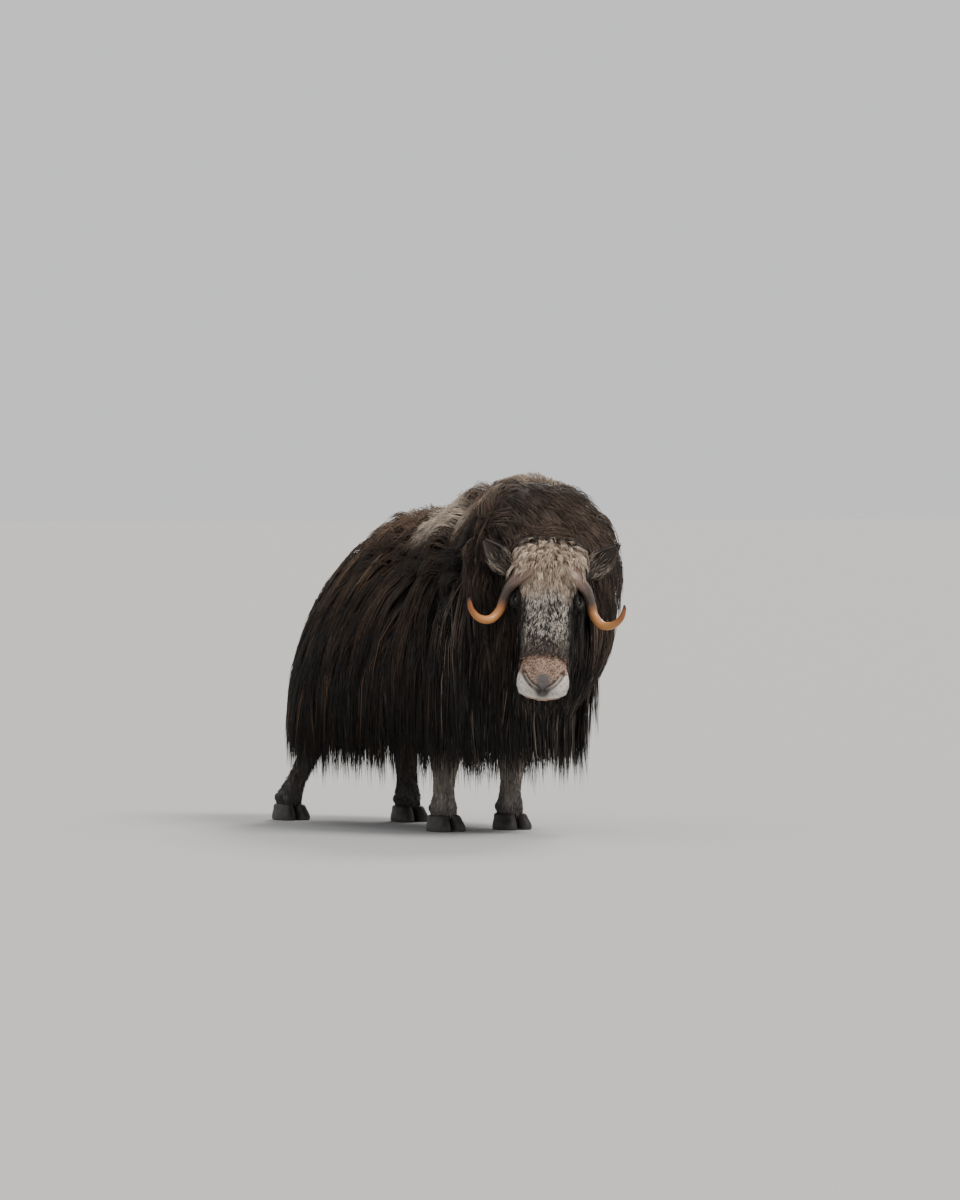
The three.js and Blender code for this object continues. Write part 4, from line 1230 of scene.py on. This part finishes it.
def face_length(local):
    near, along = np.abs(local[..., 0]), local[..., 1]
    front = 58 - 26 * smooth(150, 320, along) - 22 * smooth(400, 452, along)
    cheek = 70 - 30 * smooth(250, 430, along) - 30 * smooth(440, 500, along)
    return np.where(local[..., 2] < 20, cheek, front + 12 * smooth(80, 110, near) * smooth(450, 350, along))


FLECK_SEED = 11
paths, outs, uv, local = grown_on_head(
    5400, long_face_weight, 131, face_flow, face_length, depth=5, layer=3, droop=0.15
)
along = local[:, 1]
silver = smooth(160, 240, along) * smooth(440, 380, along) * smooth(98, 66, np.abs(local[:, 0]))
silver = silver * (local[:, 2] > 20)
dark = seeded(FLECK_SEED).uniform(size=len(local)) < 0.34 * silver
tint = np.where(dark[:, None], [0.035, 0.03, 0.027], head_colour(local) * (1 + 0.7 * silver)[:, None])
guides = paths, outs, uv, tint
clumped_piece("face_hair", "face", guides, along > 150)
clumped_piece("forehead_hair", "face", guides, along <= 150)


# The forelock: longer pale hair that falls over the horn bases
def forelock_weight(local):
    near = np.abs(local[..., 0])
    return (near < 104) * (local[..., 2] > 15) * (local[..., 1] > -55) * (local[..., 1] < 120)


def forelock_flow(local):
    return np.stack([0.35 * local[..., 0] / 90, np.ones(len(local)), 0 * local[..., 0]], -1)


def forelock_length(local):
    return 92 - 0.15 * local[:, 1]


paths, outs, uv, local = grown_on_head(
    420, forelock_weight, 141, forelock_flow, forelock_length, depth=6, layer=26, droop=0.1
)
over_horns = smooth(100, 60, np.abs(np.abs(local[:, 0]) - 70)) * smooth(20, 70, local[:, 1])
over_horns = over_horns[:, None] * np.linspace(0, 1, GUIDE_STEPS + 1) ** 0.7
paths = paths + outs * (16 * over_horns)[..., None]
fair = head_colour(local * [0.8, 0, 1] + [0, 110, 0])
tint = mix(fair, [0.26, 0.17, 0.12], 0.6 * smooth(0.3, 0.8, noise(local, 30, 142)))
clumped_piece("forelock", "face", (paths, outs, uv, tint))


# Cheeks and beard: dark, hanging from the jaw and throat, with a few silver and brown hairs
def beard_weight(points, normals):
    local = to_head(points)
    low = smooth(10, -40, local[..., 2])
    return low * (local[..., 1] > 60) * smooth(545, 470, local[..., 1])


points, normals, uv, made = sown(head_skin, 620, beard_weight, 151)
flow = combed(DOWN + 0.25 * head_along, normals, made, 0.15)
length = made.uniform(110, 200, len(points)) * (1 - 0.62 * smooth(440, 540, to_head(points)[:, 1]))
layer = made.uniform(2, 14, len(points))
paths, outs = grow(points, normals, flow, length, 6, layer, 0.9, 0.3, HEAD_TREE, None, sunk=2)
guides = paths, outs, uv, np.broadcast_to(BLACK * 1.4, points.shape)
clumped_piece("beard", "face", guides, streak=([0.20, 0.165, 0.14], 0.10))


# Muzzle, lids, legs, hoof fringes, tail and ears: short hair that needs no guides
def short_hair(
    sheet, count, weight, seed, flow_of, length_of, tint_of, width, lift, rings=2, bend=0.5, shade=0.2,
):
    """Strands that rise by lift and bend back, all of it as shares of their length."""
    points, normals, uv, made = sown(sheet, count, weight, seed)
    flow = combed(flow_of(points, normals), normals, made, 0.16)
    reach = (length_of(points) * made.uniform(0.7, 1.25, len(points)))[:, None, None]
    share = np.linspace(0, 1, rings + 1)[None, :, None]
    rise = lift * (share - bend * share**2)
    roots = points[:, None] - normals[:, None] * 1.5
    paths = roots + reach * (flow[:, None] * share + normals[:, None] * rise)
    taper = np.interp(share[0, :, 0], [0, 0.15, 0.6, 1], [0.7, 1, 0.8, 0])
    widths = (width * made.uniform(0.7, 1.3, len(points)))[:, None] * taper
    tone = np.clip(1 + shade * made.normal(size=(len(points), 1, 1)), 0.3, 2) * (0.75 + 0.4 * share)
    outs = np.repeat(normals[:, None], rings + 1, 1)
    return paths, widths, outs, uv, tint_of(points)[:, None] * tone


def same(value):
    """A function that gives one value for every point."""
    return lambda points, *_: np.broadcast_to(value, (len(points), *np.shape(value)))


muzzle_hair = short_hair(
    head_skin, 6500, muzzle_weight, 156, muzzle_flow, same(10.5), lambda p: head_colour(to_head(p)),
    width=1.0, lift=0.42, bend=0.8,
)
coat_piece("muzzle_hair", "face", muzzle_hair)

lashes = []
for number, sheet in enumerate(lids):
    middle, axis = eye_place(1 if number < 2 else -1)

    def away(p):
        offset = p - middle
        return unit(offset - (offset @ axis)[..., None] * axis)

    lashes.append(short_hair(
        sheet, 520, lambda p, n: smooth(-0.2, 0.3, dot(n, away(p))), 158,
        lambda p, n: away(p) + 0.5 * head_along - 0.3 * axis, same(15), same(BLACK * 2.2),
        width=1.1, lift=0.3, bend=0.8,
    ))
coat_piece("lid_hair", "face", *lashes)

for name, sheet in legs.items():
    hair = short_hair(
        sheet, 2700, lambda p, n: smooth(66, 74, p[..., 2]) * smooth(520, 430, p[..., 2]), 161,
        same(DOWN), lambda p: 24 + 26 * smooth(260, 420, p[..., 2]), lambda p: leg_colour(p, name),
        width=1.5, lift=0.34,
    )
    fringe = short_hair(
        sheet, 420, lambda p, n: smooth(66, 70, p[..., 2]) * smooth(100, 84, p[..., 2]), 171,
        lambda p, n: DOWN + 0.3 * n, same(34), lambda p: leg_colour(p, name) * 0.9,
        width=1.5, lift=0.42, bend=0.9,
    )
    coat_piece("leg_hair_" + name, "legs", hair, fringe)

tuft = short_hair(
    tail, 900, same(1.0), 176, same(DOWN), same(105), same(BLACK * 1.3),
    width=1.8, lift=0.1, rings=3, bend=0.9, shade=0.3,
)
coat_piece("tail_tuft", "coat", tuft)

opening = unit(head_rise + head_along * 0.3)
for label, side in (("left", 1), ("right", -1)):
    root, tip = ear_ends(side)
    line = unit(tip - root)

    def reach_along(p):
        return (p - root) @ line / size_of(tip - root)

    back = short_hair(
        ears[side], 1500, lambda p, n: smooth(0.1, -0.2, n @ opening) * (reach_along(p) > 0.02), 181,
        same(line), same(22), lambda p: ear_colour(p) * 1.1, width=1.2, lift=0.3,
    )
    inside = short_hair(
        ears[side], 260, lambda p, n: (n @ opening > 0.3) * smooth(0.6, 0.3, reach_along(p)), 191,
        same(line + 0.5 * opening), same(34), same([0.26, 0.21, 0.17]),
        width=0.9, lift=0.6, bend=0.6, shade=0.35,
    )
    coat_piece("ear_hair_" + label, "ears", back, inside)


# Floor, light and camera
def sun(name, direction, power, softness, colour):
    data = bpy.data.lights.new(name, "SUN")
    data.energy = power
    data.angle = radians(softness)
    data.color = colour
    light = linked(name, data)
    light.rotation_euler = Vector(direction).to_track_quat("Z", "Y").to_euler()
    return light


FLOOR_HALF = 200
ground = bpy.data.meshes.new("floor")
corners = [(x * FLOOR_HALF, y * FLOOR_HALF, 0) for x, y in ((-1, -1), (1, -1), (1, 1), (-1, 1))]
ground.from_pydata(corners, [], [(0, 1, 2, 3)])
floor = linked("floor", ground)
floor.data.materials.append(material("Floor", 0.9, 0.1, (0.458, 0.455, 0.447)))

world = bpy.context.scene.world or bpy.data.worlds.new("World")
bpy.context.scene.world = world
world.use_nodes = True
sky = world.node_tree.nodes["Background"]
sky.inputs["Color"].default_value = (0.80, 0.805, 0.81, 1)
sky.inputs["Strength"].default_value = 1.0

key = sun("key", (0.35, -0.75, 1.0), 2.6, 24, (1.0, 0.965, 0.91))
rim = sun("rim", (0.75, 0.55, 0.75), 1.9, 16, (1.0, 0.97, 0.93))

VIEW_AZIMUTH = radians(-34)
VIEW_ELEVATION = radians(1)
FRAME_HEIGHT = 4.56
FRAME_OFFSET = (0.258, 0.855)
DISTANCE = 24
SENSOR = 36
to_camera = Vector((
    sin(VIEW_AZIMUTH) * cos(VIEW_ELEVATION),
    -cos(VIEW_AZIMUTH) * cos(VIEW_ELEVATION),
    sin(VIEW_ELEVATION),
))
right = Vector((cos(VIEW_AZIMUTH), sin(VIEW_AZIMUTH), 0))
upward = to_camera.cross(right)
lens = bpy.data.cameras.new("camera")
lens.sensor_fit = "VERTICAL"
lens.sensor_height = SENSOR
lens.sensor_width = SENSOR
lens.lens = SENSOR * DISTANCE / FRAME_HEIGHT
lens.clip_end = 300
camera = linked("camera", lens)
target = Vector((SHIFT[0], SHIFT[1], 0)) + right * FRAME_OFFSET[0] + upward * FRAME_OFFSET[1]
camera.location = target + to_camera * DISTANCE
camera.rotation_euler = to_camera.to_track_quat("Z", "Y").to_euler()
bpy.context.scene.camera = camera
